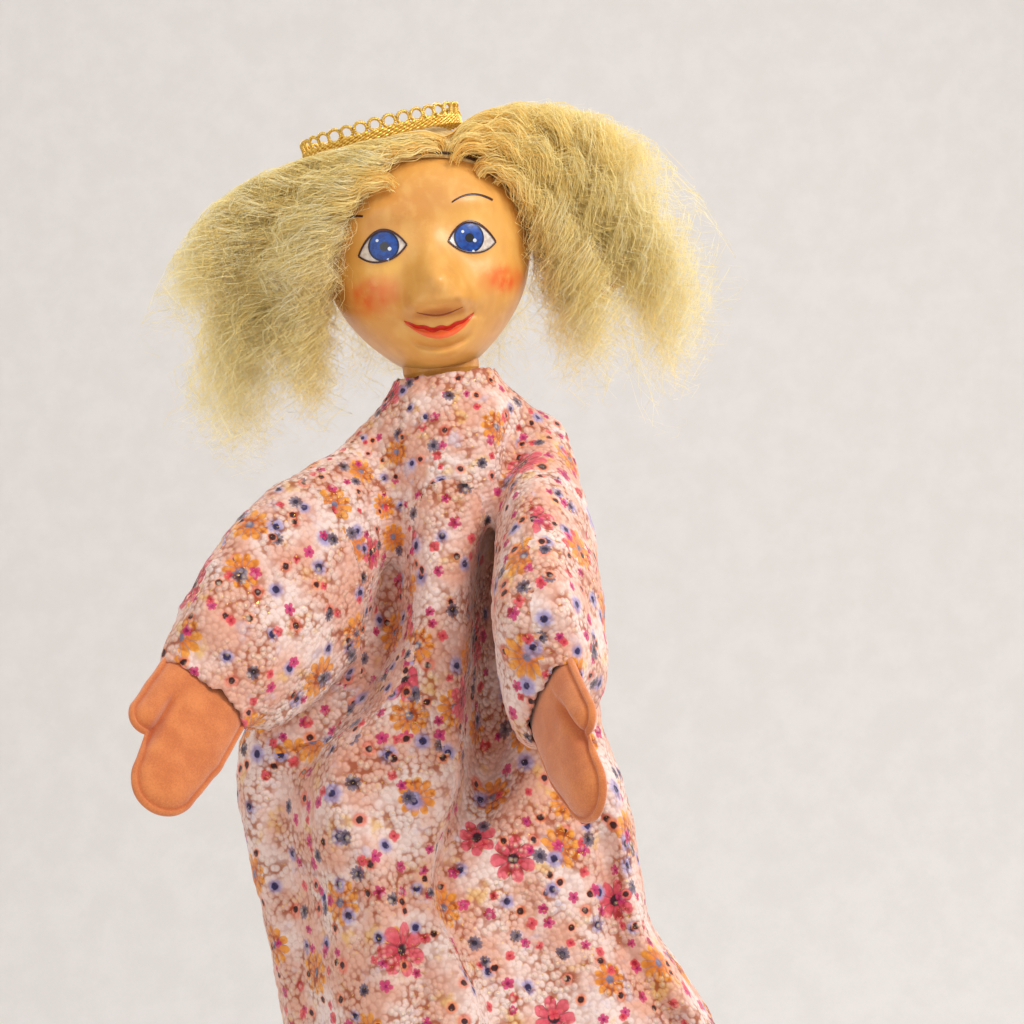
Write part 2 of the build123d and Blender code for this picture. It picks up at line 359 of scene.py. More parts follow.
class Shader:
    """Builds one Principled material from procedural nodes."""

    def __init__(self, name: str) -> None:
        """Starts a material that holds only its Principled node."""
        self.material = bpy.data.materials.new(name)
        self.material.use_nodes = True
        self.tree = self.material.node_tree
        self.bsdf = self.tree.nodes["Principled BSDF"]

    def set(self, **values: float | tuple) -> "Shader":
        """Sets sockets of the Principled node to constants.

        Args:
            values: socket names with spaces written as underscores.
        Returns:
            This shader.
        """
        for key, value in values.items():
            self.bsdf.inputs[key.replace("_", " ")].default_value = (*value, 1.0) if isinstance(value, tuple) else value
        return self

    def node(self, kind: str, outlet: str | int = 0, settings: dict | None = None, **inputs) -> Sock:
        """A new node's output.

        Args:
            kind: the node's type name.
            outlet: which output.
            settings: its properties.
            inputs: its inputs, as Sock or constant, with spaces written as underscores.
        Returns:
            The output as a Sock.
        """
        n = self.tree.nodes.new(kind)
        for key, value in (settings or {}).items():
            setattr(n, key, value)
        for key, value in inputs.items():
            socket = n.inputs[key.replace("_", " ")]
            if isinstance(value, Sock):
                self.tree.links.new(value.socket, socket)
            else:
                socket.default_value = value
        return Sock(self.tree, n.outputs[outlet])

    def objects(self) -> Sock:
        """Object coordinates, in metres."""
        return self.node("ShaderNodeTexCoord", "Object")

    def uv(self) -> Sock:
        """Cloth coordinates, in metres."""
        return self.node("ShaderNodeTexCoord", "UV")

    def attribute(self, name: str, outlet: str = "Color") -> Sock:
        """A vertex attribute."""
        return self.node("ShaderNodeAttribute", outlet, {"attribute_name": name})

    def noise(
        self, where: Sock, size_mm: float, detail: float = 3.0, rough: float = 0.55, outlet: str = "Fac"
    ) -> Sock:
        """Noise with lumps of about the given size."""
        return self.node(
            "ShaderNodeTexNoise", outlet, None, Vector=where, Scale=1000.0 / size_mm, Detail=detail, Roughness=rough
        )

    def mix(self, share: Sock | float, a: Sock | tuple, b: Sock | tuple, mode: str = "MIX") -> Sock:
        """Two colours mixed by share.

        Args:
            share: 0 for a, 1 for b.
            a, b: colours, as values or constants.
            mode: the node's blend type.
        Returns:
            The mixed colour.
        """
        n = self.tree.nodes.new("ShaderNodeMix")
        n.data_type, n.blend_type = "RGBA", mode
        for slot, value in ((0, share), (6, a), (7, b)):
            if isinstance(value, Sock):
                self.tree.links.new(value.socket, n.inputs[slot])
            elif slot == 0:
                n.inputs[0].default_value = value
            else:
                n.inputs[slot].default_value = (*value, 1.0)
        return Sock(self.tree, n.outputs[2])

    def paint(self, colour: Sock) -> "Shader":
        """Sends a colour to the base colour."""
        self.tree.links.new(colour.socket, self.bsdf.inputs["Base Color"])
        return self

    def drive(self, socket: str, value: Sock) -> "Shader":
        """Sends a value to a named socket of the Principled node."""
        self.tree.links.new(value.socket, self.bsdf.inputs[socket])
        return self

    def bump(self, height: Sock, distance_mm: float, strength: float = 1.0) -> "Shader":
        """Bumps the surface by a height from 0 to 1.

        Args:
            height: the height.
            distance_mm: how high 1 stands.
            strength: share of the effect.
        Returns:
            This shader.
        """
        n = self.tree.nodes.new("ShaderNodeBump")
        n.inputs["Strength"].default_value = strength
        n.inputs["Distance"].default_value = distance_mm * MM
        self.tree.links.new(height.socket, n.inputs["Height"])
        self.tree.links.new(n.outputs[0], self.bsdf.inputs["Normal"])
        return self


# ---------------------------------------------------------------- finishes
@dataclass(frozen=True)
class PaintedSkin:
    """Brushed ochre paint on the carved head; the rouge and shading come from a vertex colour."""

    roughness: float = 0.42

    def make(self) -> bpy.types.Material:
        """Returns the material."""
        s = Shader("painted_skin")
        at = s.objects()
        streaks = s.noise(at, 5.0, 5.0, 0.65)
        patches = s.noise(at, 16.0, 3.0)
        base = s.attribute("paint")
        warm = s.mix(patches.ramp(0.42, 0.68) * 0.35, base, srgb(216, 146, 58))
        pale = s.mix(streaks.ramp(0.5, 0.72) * 0.30, warm, srgb(240, 192, 112))
        s.paint(pale)
        s.set(Roughness=self.roughness, Specular_IOR_Level=0.45, Coat_Weight=0.2, Coat_Roughness=0.28)
        grain = s.noise(at, 1.6, 4.0, 0.6) * 0.5 + streaks * 0.5
        return s.bump(grain, 0.28, 0.55).material


@dataclass(frozen=True)
class GlossPaint:
    """Glossy paint of one hue with slight brush variation."""

    name: str
    colour: tuple[float, float, float]
    deep: tuple[float, float, float]
    roughness: float = 0.18
    coat: float = 0.6

    def make(self) -> bpy.types.Material:
        """Returns the material."""
        s = Shader(self.name)
        n = s.noise(s.objects(), 1.8, 3.0, 0.6)
        s.paint(s.mix(n.ramp(0.35, 0.7), self.colour, self.deep))
        return s.set(
            Roughness=self.roughness, Coat_Weight=self.coat, Coat_Roughness=0.08
        ).bump(n, 0.08, 0.4).material


@dataclass(frozen=True)
class Wool:
    """Curled wool: pale tips and a deeper ochre, both from vertex values, which mix the wool's own random tone with
    painted shade.
    """

    name: str
    pale: tuple[float, float, float]
    deep: tuple[float, float, float]
    tip: tuple[float, float, float]
    glow: float = 0.38

    def make(self) -> bpy.types.Material:
        """Returns the material."""
        s = Shader(self.name)
        tone = s.attribute("tone", "Fac")
        colour = s.mix(tone.ramp(0.0, 0.55), self.deep, self.pale)
        s.paint(s.mix(tone.ramp(0.6, 1.0), colour, self.tip))
        s.set(Roughness=0.55, Specular_IOR_Level=0.2, Sheen_Weight=0.25, Sheen_Roughness=0.4)
        glow, mixer = s.tree.nodes.new("ShaderNodeBsdfTranslucent"), s.tree.nodes.new("ShaderNodeMixShader")
        base = s.bsdf.inputs["Base Color"].links[0].from_socket
        s.tree.links.new(base, glow.inputs["Color"])
        mixer.inputs[0].default_value = self.glow
        s.tree.links.new(s.bsdf.outputs[0], mixer.inputs[1])
        s.tree.links.new(glow.outputs[0], mixer.inputs[2])
        s.tree.links.new(mixer.outputs[0], s.tree.nodes["Material Output"].inputs[0])
        return s.material


@dataclass(frozen=True)
class GoldBraid:
    """Metallic gold thread."""

    name: str = "gold_thread"

    def make(self) -> bpy.types.Material:
        """Returns the material."""
        s = Shader(self.name)
        at = s.objects()
        n = s.noise(at, 0.5, 3.0, 0.7)
        s.paint(s.mix(n.ramp(0.3, 0.7), srgb(255, 226, 130), srgb(214, 160, 56)))
        return s.set(Metallic=0.8, Roughness=0.36).bump(n, 0.15, 0.8).material


@dataclass(frozen=True)
class Felt:
    """Dense wool felt with fine fibres."""

    name: str
    colour: tuple[float, float, float]
    dark: tuple[float, float, float]

    def make(self) -> bpy.types.Material:
        """Returns the material."""
        s = Shader(self.name)
        at = s.objects()
        fibre = s.noise(at, 0.55, 5.0, 0.75)
        cloud = s.noise(at, 9.0, 3.0)
        shade = s.attribute("tone", "Fac")
        colour = s.mix((fibre * 0.5 + cloud * 0.5).ramp(0.36, 0.66), self.dark, self.colour)
        # low tone darkens the felt: painted shade in the stitched groove and the palm fold
        s.paint(s.mix(shade.ramp(0.0, 1.0), s.mix(0.55, colour, self.dark, "MULTIPLY"), colour))
        s.set(Roughness=0.9, Specular_IOR_Level=0.15, Sheen_Weight=0.5, Sheen_Roughness=0.5)
        return s.bump(fibre, 0.22, 0.8).material


@dataclass(frozen=True)
class Bloom:
    """One kind of printed flower."""

    cell: float
    radius: float
    petals: int
    notch: float
    colour: tuple[float, float, float]
    colour_b: tuple[float, float, float]
    heart: tuple[float, float, float]
    heart_radius: float
    chance: float
    shift: float
    soft: float = 0.5


@dataclass(frozen=True)
class FlowerCloth:
    """Looped knit with gold thread, printed with scattered generic flowers. The print lies in cloth coordinates."""

    blooms: tuple[Bloom, ...] = (
        Bloom(
            14, 3.0, 1, 0.0, srgb(232, 140, 116), srgb(226, 124, 104), srgb(40, 22, 36), 1.15, 0.45, 3.7, 1.6
        ),
        Bloom(
            23, 7.6, 10, 0.40, srgb(216, 112, 26), srgb(238, 158, 50), srgb(120, 120, 146), 1.5, 0.52, 0.0,
            0.7
        ),
        Bloom(
            46, 9.0, 7, 0.45, srgb(206, 46, 76), srgb(232, 104, 120), srgb(28, 20, 34), 2.0, 0.55, 9.1, 0.6
        ),
        Bloom(
            14, 3.7, 1, 0.0, srgb(150, 138, 186), srgb(186, 172, 208), srgb(34, 28, 78), 1.25, 0.50, 5.3, 2.0
        ),
        Bloom(
            9.5, 2.3, 5, 0.45, srgb(196, 30, 110), srgb(214, 70, 120), srgb(150, 20, 90), 0.5, 0.36, 7.9, 0.5
        ),
        Bloom(
            11, 2.2, 4, 0.30, srgb(216, 60, 80), srgb(232, 100, 100), srgb(180, 40, 60), 0.4, 0.36, 2.3, 0.7
        ),
        Bloom(
            16, 3.0, 9, 0.35, srgb(84, 76, 100), srgb(140, 124, 140), srgb(50, 44, 66), 0.9, 0.46, 6.1, 0.5
        ),
        Bloom(
            13, 2.4, 1, 0.0, srgb(236, 120, 84), srgb(240, 150, 110), srgb(30, 18, 30), 1.2, 0.42, 1.7, 1.2
        ),
    )

    def _bloom(self, s: Shader, uv: Sock, under: Sock, b: Bloom) -> Sock:
        """Prints one kind of flower.

        A cell's point is the flower's middle. Its outline is where the distance from there is under the radius times
        1 less the notch between petals, which follows the cosine of the angle times the number of petals.

        Args:
            s: the shader.
            uv: cloth coordinates.
            under: the colour so far.
            b: the flower.
        Returns:
            The colour with the flowers on it.
        """
        moved = s.node("ShaderNodeVectorMath", 0, {"operation": "ADD"})
        node = moved.socket.node
        s.tree.links.new(uv.socket, node.inputs[0])
        node.inputs[1].default_value = (b.shift * 0.137, b.shift * 0.091, 0)
        v = s.tree.nodes.new("ShaderNodeTexVoronoi")
        v.voronoi_dimensions, v.feature = "2D", "F1"
        v.inputs["Scale"].default_value = 1000.0 / b.cell
        v.inputs["Randomness"].default_value = 0.85
        s.tree.links.new(moved.socket, v.inputs["Vector"])
        delta = s.node("ShaderNodeVectorMath", 0, {"operation": "SUBTRACT"})
        s.tree.links.new(moved.socket, delta.socket.node.inputs[0])
        s.tree.links.new(v.outputs["Position"], delta.socket.node.inputs[1])
        split = s.tree.nodes.new("ShaderNodeSeparateXYZ")
        s.tree.links.new(delta.socket, split.inputs[0])
        dx, dy = Sock(s.tree, split.outputs[0]) * 1000.0, Sock(s.tree, split.outputs[1]) * 1000.0
        tint = s.tree.nodes.new("ShaderNodeSeparateColor")
        s.tree.links.new(v.outputs["Color"], tint.inputs[0])
        pick, tone, size = (Sock(s.tree, tint.outputs[i]) for i in range(3))
        wobble = (s.noise(uv, 2.6, 2.0) - 0.5) * 1.5
        distance = (dx * dx + dy * dy).fn("SQRT") + wobble
        angle = dy.fn("ARCTAN2", dx)
        lobes = (angle * (b.petals / 2.0) + tone * 6.0).fn("COSINE").fn("ABSOLUTE") if b.petals > 1 else None
        radius = (size * 0.35 + 0.8) * b.radius
        edge = radius * (lobes.fn("SQRT") * b.notch + (1.0 - b.notch)) if lobes else radius
        inside = (edge - distance).ramp(0.0, b.soft)
        shown = inside * pick.fn("LESS_THAN", b.chance)
        petal = s.mix((distance / b.radius).ramp(0.15, 0.95), b.colour, b.colour_b)
        if lobes:
            petal = s.mix(lobes.ramp(0.55, 0.1) * 0.45, petal, b.heart)
        out = s.mix(shown * 0.93, under, petal)
        middle = distance.ramp(b.heart_radius * 1.15, b.heart_radius * 0.75) * pick.fn("LESS_THAN", b.chance)
        return s.mix(middle * 0.94, out, b.heart)

    def make(self) -> bpy.types.Material:
        """Returns the material."""
        s = Shader("flower_cloth")
        uv = s.uv()
        wash = s.noise(uv, 22.0, 3.0)
        wash_b = s.noise(
            s.node("ShaderNodeVectorMath", 0, {"operation": "SCALE"}, Vector=uv, Scale=1.31), 15.0, 3.0
        )
        ground = s.mix(wash.ramp(0.38, 0.60) * 0.85, srgb(236, 212, 204), srgb(222, 160, 134))
        ground = s.mix(wash_b.ramp(0.58, 0.70) * 0.7, ground, srgb(232, 184, 104))
        ground = s.mix(wash_b.ramp(0.42, 0.28) * 0.6, ground, srgb(206, 198, 218))
        colour = ground
        for b in self.blooms:
            colour = self._bloom(s, uv, colour, b)
        loops = s.tree.nodes.new("ShaderNodeTexVoronoi")
        loops.voronoi_dimensions, loops.feature = "3D", "SMOOTH_F1"
        loops.inputs["Scale"].default_value = 1000.0 / 1.9
        loops.inputs["Smoothness"].default_value = 0.25
        s.tree.links.new(s.objects().socket, loops.inputs["Vector"])
        near = Sock(s.tree, loops.outputs["Distance"])
        tint = s.tree.nodes.new("ShaderNodeSeparateColor")
        s.tree.links.new(loops.outputs["Color"], tint.inputs[0])
        cell = Sock(s.tree, tint.outputs[0])
        coarse = s.noise(uv, 13.0, 2.0).ramp(0.40, 0.60)
        puff = near.ramp(0.62, 0.15)
        strand = s.node(
            "ShaderNodeTexWave", "Fac", {"wave_type": "BANDS", "bands_direction": "Y"},
            Vector=uv, Scale=1000.0 / 7.0, Distortion=3.5, Detail=2.0, Detail_Scale=1.6,
        )
        cream = s.mix(cell.ramp(0.55, 0.7) * coarse * puff * 0.55, colour, srgb(240, 212, 184))
        # painted shade in the gaps between the loops
        gap_shade = s.mix(
            near.ramp(0.42, 0.80) * (coarse * 0.6 + 0.3), cream,
            s.mix(1.0, cream, srgb(176, 110, 70), "MULTIPLY")
        )
        glint = (
            s.noise(s.objects(), 0.75, 2.0, 0.5).ramp(0.60, 0.67) * (coarse * 0.7 + 0.3)
            * strand.ramp(0.35, 0.8)
        )
        s.paint(s.mix(glint * 0.9, gap_shade, srgb(226, 180, 96)))
        s.drive("Metallic", glint * 0.8)
        s.drive("Roughness", (glint * -0.55) + 0.86)
        s.set(Specular_IOR_Level=0.25, Sheen_Weight=0.25, Sheen_Roughness=0.5)
        height = puff * (coarse * 0.65 + 0.35) * (cell * 0.5 + 0.5) + strand * 0.18
        return s.bump(height, 0.75, 0.9).material


@dataclass(frozen=True)
class Plain:
    """Matte material with a mottled tone, for cord, lining and what is seldom seen."""

    name: str
    colour: tuple[float, float, float]
    dark: tuple[float, float, float]
    grain_mm: float = 1.5
    roughness: float = 0.8

    def make(self) -> bpy.types.Material:
        """Returns the material."""
        s = Shader(self.name)
        n = s.noise(s.objects(), self.grain_mm, 4.0, 0.65)
        s.paint(s.mix(n.ramp(0.35, 0.68), self.dark, self.colour))
        return s.set(Roughness=self.roughness).bump(n, 0.15, 0.6).material


class Palette:
    """Every material of the scene, made once."""

    def __init__(self) -> None:
        """Makes the materials."""
        self.skin = PaintedSkin().make()
        self.neck = Plain("neck_paint", srgb(226, 164, 80), srgb(206, 140, 60), 6.0, 0.45).make()
        self.eye_white = GlossPaint("eye_white", srgb(226, 214, 202), srgb(198, 180, 166), 0.35, 0.2).make()
        self.iris = GlossPaint("iris_blue", srgb(6, 78, 168), srgb(2, 44, 120), 0.3, 0.15).make()
        self.iris_rim = GlossPaint("iris_rim", srgb(4, 24, 70), srgb(2, 14, 46), 0.3, 0.15).make()
        self.pupil = GlossPaint("pupil", srgb(10, 8, 16), srgb(4, 4, 8), 0.1).make()
        # white paint for the reflections of lights on the glossy eyes: painted reflections
        self.painted_reflection = GlossPaint("eye_spark", srgb(228, 234, 242), srgb(190, 206, 226), 0.2).make()
        self.liner = GlossPaint("liner", srgb(70, 22, 26), srgb(44, 14, 22), 0.35, 0.2).make()
        self.lip = GlossPaint("lip", srgb(240, 92, 40), srgb(232, 110, 56), 0.35, 0.25).make()
        self.lip_dark = GlossPaint("lip_dark", srgb(214, 40, 18), srgb(190, 30, 16), 0.35, 0.25).make()
        # dark paint for the stroke under the nose: painted shade
        self.crease = GlossPaint("crease_paint", srgb(150, 78, 44), srgb(128, 60, 40), 0.5, 0.0).make()
        self.wool = Wool(
            "wool_strands", srgb(255, 238, 170), srgb(250, 208, 112), srgb(255, 250, 222), 0.34
        ).make()
        # darker copy of the wool for the fillings behind the strands: painted shade inside the hair
        self.wool_base = Wool(
            "wool_base", srgb(232, 192, 108), srgb(206, 154, 66), srgb(240, 210, 136)
        ).make()
        self.gold = GoldBraid().make()
        self.felt = Felt("hand_felt", srgb(224, 138, 80), srgb(198, 110, 62)).make()
        self.cloth = FlowerCloth().make()
        self.lining = Plain("lining_felt", srgb(206, 186, 156), srgb(176, 152, 122)).make()
        self.cord = Plain("cord", srgb(226, 216, 198), srgb(190, 176, 154), 0.8).make()
        self.thread = Plain("dark_thread", srgb(84, 52, 26), srgb(46, 26, 16), 0.6).make()
        self.pelt = Plain("pelt", srgb(222, 196, 136), srgb(190, 156, 92)).make()
        self.wall = Plain("wall", srgb(234, 230, 227), srgb(230, 226, 222), 40.0, 0.95).make()


# ---------------------------------------------------------------- head
@dataclass
class Head:
    """The carved head. Its front is one function of x and z, which the painted features follow as well."""

    palette: Palette
    bottom: float = 17.0
    top: float = 101.0
    middle_y: float = 3.0
    square: float = 2.25
    rows: int = 260
    cols: int = 300
    half_width: list[tuple[float, float]] = field(
        default_factory=lambda: [
            (101, 34), (90, 36.0), (80, 36), (70, 36.2), (60, 35.4), (50, 34.8), (40, 33.8), (30, 31.5),
            (25, 30.0), (17, 29)
        ]
    )
    front: list[tuple[float, float]] = field(
        default_factory=lambda: [
            (101, 33), (97, 33), (90, 35), (80, 36), (70, 36), (60, 34.5), (50, 34.5), (40, 36), (30, 41),
            (25, 45), (20, 46), (17, 40)
        ]
    )
    back: list[tuple[float, float]] = field(
        default_factory=lambda: [
            (101, 33), (90, 36), (80, 38), (60, 39), (50, 38), (40, 34), (30, 27), (20, 20), (17, 20)
        ]
    )

    def features(self, x: Array, z: Array) -> Array:
        """How far the carving stands in front of the plain head.

        Each feature is a bell in x and z: the nose's bulb, bridge and wings, cheeks, sockets, eyeballs, lips, the
        groove under them and the chin.

        Args:
            x, z: positions in mm.
        Returns:
            The height of the carving in mm.
        """
        ax = np.abs(x)

        def bell(cx: float, cz: float, sx: float, sz: float, p: float = 1.0) -> Array:
            """Bell of height 1 on both sides of the face; a higher power p squares its shoulders."""
            return np.exp(-((((ax - cx) / sx) ** 2 + ((z - cz) / sz) ** 2) ** p))

        under = np.where(z < 41.0, 0.66, 1.35)
        nose = 13.6 * np.exp(-(((ax / 9.6) ** 2 + ((z - 41.0) / (7.6 * under)) ** 2) ** 1.25))
        bridge = 4.8 * np.exp(-((ax / 6.6) ** 2)) * smooth_step((z - 40) / 8) * smooth_step((68 - z) / 16)
        wings = 4.0 * bell(8.4, 39.2, 3.4, 3.6)
        cheek = 2.6 * bell(20.5, 42.5, 9.5, 9.0)
        socket = -2.4 * bell(14.4, 61.0, 9.5, 7.5, 1.2)
        eyeball = 2.3 * bell(14.4, 60.0, 7.4, 5.6, 1.4)
        brow = 1.0 * bell(14.0, 72.5, 10.0, 4.0)
        line = 30.6 + 0.031 * x * x
        upper = 1.3 * np.exp(-(((z - line - 1.7) / 1.6) ** 2)) * np.clip(1 - (x / 12.5) ** 2, 0, 1)
        lower = 2.0 * np.exp(-(((z - line + 2.2) / 1.9) ** 2)) * np.clip(1 - (x / 11.0) ** 2, 0, 1)
        slit = -0.9 * np.exp(-(((z - line) / 0.6) ** 2)) * smooth_step((12.5 - ax) / 2)
        groove = -1.9 * np.exp(-(((z - (line - 5.4)) / 1.25) ** 2)) * smooth_step((11.5 - ax) / 5)
        dimple = -0.9 * bell(13.0, 35.8, 2.2, 2.4)
        chin = 3.4 * bell(0.0, 21.5, 10.0, 4.6)
        lip_dip = -0.5 * np.exp(-((ax / 1.8) ** 2) - ((z - 35.5) / 2.0) ** 2)
        fold = (
            -0.9 * np.exp(-(((ax - (9.8 + (38 - z) * 0.45)) / 1.5) ** 2)) * smooth_step((z - 33) / 2)
            * smooth_step((41 - z) / 3)
        )
        return (
            nose + bridge + wings + cheek + socket + eyeball + brow + upper + lower + slit + groove + dimple
            + chin + lip_dip + fold
        )

    def _turn(self, z: Array) -> Array:
        """Sine of the angle down the head at a height, which closes both poles."""
        half = (self.top - self.bottom) / 2
        return np.sqrt(np.clip(1 - ((z - self.bottom - half) / half) ** 2, 1e-6, 1))

    def front_y(self, x: Array, z: Array) -> Array:
        """Height field of the face.

        Args:
            x, z: positions in mm.
        Returns:
            y of the painted surface in mm.
        """
        s = self._turn(z)
        w = falling(z, self.half_width) * s
        d = falling(z, self.front) * s
        p = self.square
        round_off = np.clip(1 - np.clip(np.abs(x) / w, 0, 0.999) ** p, 0, 1) ** (1 / p)
        return self.middle_y - d * round_off - self.features(x, z) * smooth_step(round_off * 1.6)

    def _paint_and_shade(self, p: Array) -> Array:
        """Paint of the head: ochre skin, painted shade on the brow, beside and under the nose, under the cheeks and in
        the groove under the lip, brush marks and soft rouge.

        Args:
            p: vertices in mm.
        Returns:
            A linear colour per vertex.
        """
        x, z, front = p[:, 0], p[:, 2], smooth_step((-p[:, 1] - 2) / 12)

        def bell(cx: float, cz: float, sx: float, sz: float, power: float = 1.0) -> Array:
            """Bell of height 1 on the front only."""
            return np.exp(-((((x - cx) / sx) ** 2 + ((z - cz) / sz) ** 2) ** power)) * front

        colour = np.tile(np.array(srgb(230, 168, 84)), (len(p), 1))
        brush = noise3(p * np.array([1.0, 1.0, 0.45]), 3.4, 11.0)

        def lay(share: Array, rgb: tuple[int, int, int]) -> None:
            """Lays a colour over the paint by a share per vertex."""
            nonlocal colour
            colour += (np.array(srgb(*rgb)) - colour) * np.clip(share, 0, 1)[:, None]

        lay(smooth_step((28 - z) / 10) * 0.45, (240, 186, 104))
        # painted shade on the forehead below the hair, and over the right eye
        lay(bell(-2, 74, 13, 7) * 0.75, (204, 136, 70))
        lay(bell(-14, 68, 12, 5) * 0.35, (206, 140, 72))
        lay(bell(-14.4, 53.6, 8, 2.6) * 0.5, (250, 196, 84))
        lay(bell(14.4, 67.5, 8, 2.4) * 0.55, (244, 186, 92))
        # painted shade along both sides of the nose bridge
        lay(bell(-6.8, 50, 2.6, 9) * 0.35, (214, 150, 70))
        lay(bell(6.8, 50, 2.6, 9) * 0.25, (214, 150, 70))
        # painted shade under the nose and beside its wings
        lay(bell(0, 36.0, 9.5, 1.3, 1.5) * 0.7, (160, 86, 46))
        lay(bell(-10.6, 40.5, 2.0, 4.6) * 0.5, (190, 118, 58))
        lay(bell(10.8, 40.5, 1.8, 4.4) * 0.35, (196, 124, 60))
        # painted shade under both cheeks
        lay(bell(-20, 33, 8, 7) * 0.3, (206, 142, 84))
        lay(bell(22, 33, 8, 7) * 0.35, (198, 138, 84))
        lay(smooth_step(brush * 1.6 - 0.1) * 0.28, (248, 204, 122))
        lay(smooth_step(-brush * 1.6 - 0.15) * 0.28, (204, 136, 60))
        grain = noise3(p, 3.2, 4.0)
        lay(bell(-21.2, 44.6, 8.4, 5.9, 1.7) * (0.82 + 0.5 * grain), (226, 96, 34))
        lay(bell(23.4, 45.4, 7.6, 4.7, 1.7) * (0.80 + 0.5 * grain), (232, 98, 40))
        # painted shadow in the groove under the lower lip
        lay(
            np.exp(-(((z - (25.4 + 0.031 * x * x)) / 0.8) ** 2)) * smooth_step((9.5 - np.abs(x)) / 4) * front * 0.5,
            (196, 124, 66)
        )
        return colour

    def _shell(self) -> bpy.types.Object:
        """The head itself: superellipse rings whose halves have different depths, carved in front.

        Returns:
            The carving.
        """
        t = np.linspace(0, 1, self.rows)
        z = self.bottom + (self.top - self.bottom) * (0.5 - 0.5 * np.cos(np.pi * t))
        s = np.maximum(self._turn(z), 0.012)
        a = np.linspace(0, 2 * np.pi, self.cols, endpoint=False)
        a = a - 0.45 * np.cos(a)
        c, n = np.cos(a), np.sin(a)
        p = 2 / self.square
        w = (falling(z, self.half_width) * s)[:, None]
        depth = np.where(n < 0, (falling(z, self.front) * s)[:, None], (falling(z, self.back) * s)[:, None])
        x = w * np.sign(c) * np.abs(c) ** p
        y = self.middle_y + depth * np.sign(n) * np.abs(n) ** p
        zz = np.broadcast_to(z[:, None], x.shape)
        mask = smooth_step(np.abs(n) ** p * 1.6) * (n < 0)
        y = y - self.features(x, zz) * mask
        points = np.stack([x, y, zz], -1).reshape(-1, 3)
        faces = MeshMaker.grid(self.rows, self.cols, True)[:, ::-1]
        return MeshMaker.build(
            "head_carving", points, faces, self.palette.skin, attributes={"paint": self._paint_and_shade(points)}
        )

    def _patch(
        self, name: str, x: Array, z: Array, lift: float, material: bpy.types.Material, faces: Array
    ) -> bpy.types.Object:
        """Thin layer of paint that follows the carving."""
        p = np.stack([x, self.front_y(x, z) - lift, z], -1).reshape(-1, 3)
        return MeshMaker.build(name, p, faces, material)

    def _stroke(
        self, name: str, x: Array, z: Array, width: Array, lift: float, material: bpy.types.Material
    ) -> bpy.types.Object:
        """Brush stroke along a line on the carving: its width times -1..1 across the line, raised in the middle.

        Args:
            name: the piece's name.
            x, z: the line in mm.
            width: the stroke's width, per point or for all.
            lift: how far it stands off the carving.
            material: its paint.
        Returns:
            The stroke.
        """
        width = np.broadcast_to(width, x.shape)
        tx, tz = np.gradient(x), np.gradient(z)
        n = np.hypot(tx, tz)
        nx, nz = -tz / n, tx / n
        across = np.linspace(-1, 1, 7)
        px = x[:, None] + nx[:, None] * across * width[:, None] / 2
        pz = z[:, None] + nz[:, None] * across * width[:, None] / 2
        y = self.front_y(px, pz) - lift - 0.12 * (1 - across[None, :] ** 2)
        faces = MeshMaker.grid(len(x), 7, False)
        return MeshMaker.build(name, np.stack([px, y, pz], -1).reshape(-1, 3), faces, material)

    def _disc(
        self, cx: float, cz: float, radius: float, lid: Array | None = None
    ) -> tuple[Array, Array, Array]:
        """Disc as rings and spokes, held below a lid line.

        Args:
            cx, cz: its middle in mm.
            radius: its radius.
            lid: (x, z) pairs of the line it can't pass.
        Returns:
            x, z and the quads.
        """
        rings, spokes = 10, 48
        r = np.linspace(0.02, 1, rings)[:, None] * radius
        a = np.linspace(0, 2 * np.pi, spokes, endpoint=False)[None]
        x, z = cx + r * np.cos(a), cz + r * np.sin(a)
        if lid is not None:
            z = np.minimum(z, np.interp(x, lid[:, 0], lid[:, 1]) - 0.15)
        return x, z, MeshMaker.grid(rings, spokes, True)

    def _eye(self, side: Side, cx: float, cz: float, iris_x: float, iris_z: float) -> list[bpy.types.Object]:
        """White, iris, pupil, painted reflections and outline of one eye.

        Args:
            side: which eye.
            cx, cz: middle of the almond in mm.
            iris_x, iris_z: middle of the iris.
        Returns:
            The pieces.
        """
        pal, tag = self.palette, side.word
        u = np.linspace(-1, 1, 61)
        x = cx + 8.0 * u
        slope = cz - side.value * 0.7 * u
        skew = np.abs(u) ** 2.0
        upper = slope + 6.6 * (1 - skew) ** 0.9
        lower = slope - 3.7 * (1 - np.abs(u) ** 2.4)
        v = np.linspace(0, 1, 15)[None]
        grid_z = lower[:, None] + (upper - lower)[:, None] * v
        grid_x = np.broadcast_to(x[:, None], grid_z.shape)
        out = [self._patch(
            f"{tag}_eye_white", grid_x, grid_z, 0.10, pal.eye_white, MeshMaker.grid(61, 15, False)
        )]
        lid = np.stack([x, upper], -1)
        layers = (
            ("iris_rim", 0.0, 0.0, 5.1, 0.20, pal.iris_rim),
            ("iris", 0.0, 0.0, 4.55, 0.30, pal.iris),
            ("pupil", 0.2, -0.2, 1.5, 0.38, pal.pupil),
            # painted reflections on the eye: white spots beside the pupil and below the iris
            ("spark_low", 1.8, -1.2, 0.62, 0.46, pal.painted_reflection),
            ("spark_high", -1.9, 2.1, 0.5, 0.42, pal.painted_reflection),
            ("spark_dot", 0.9, -4.7, 0.42, 0.44, pal.painted_reflection),
        )
        for label, dx, dz, radius, lift, material in layers:
            px, pz, faces = self._disc(iris_x + dx, iris_z + dz, radius, lid)
            out.append(self._patch(f"{tag}_{label}", px, pz, lift, material, faces))
        out.append(self._stroke(f"{tag}_upper_line", x, upper, 0.95 - 0.35 * np.abs(u), 0.40, pal.liner))
        out.append(self._stroke(f"{tag}_lower_line", x, lower, 0.62 + 0.0 * u, 0.36, pal.liner))
        return out

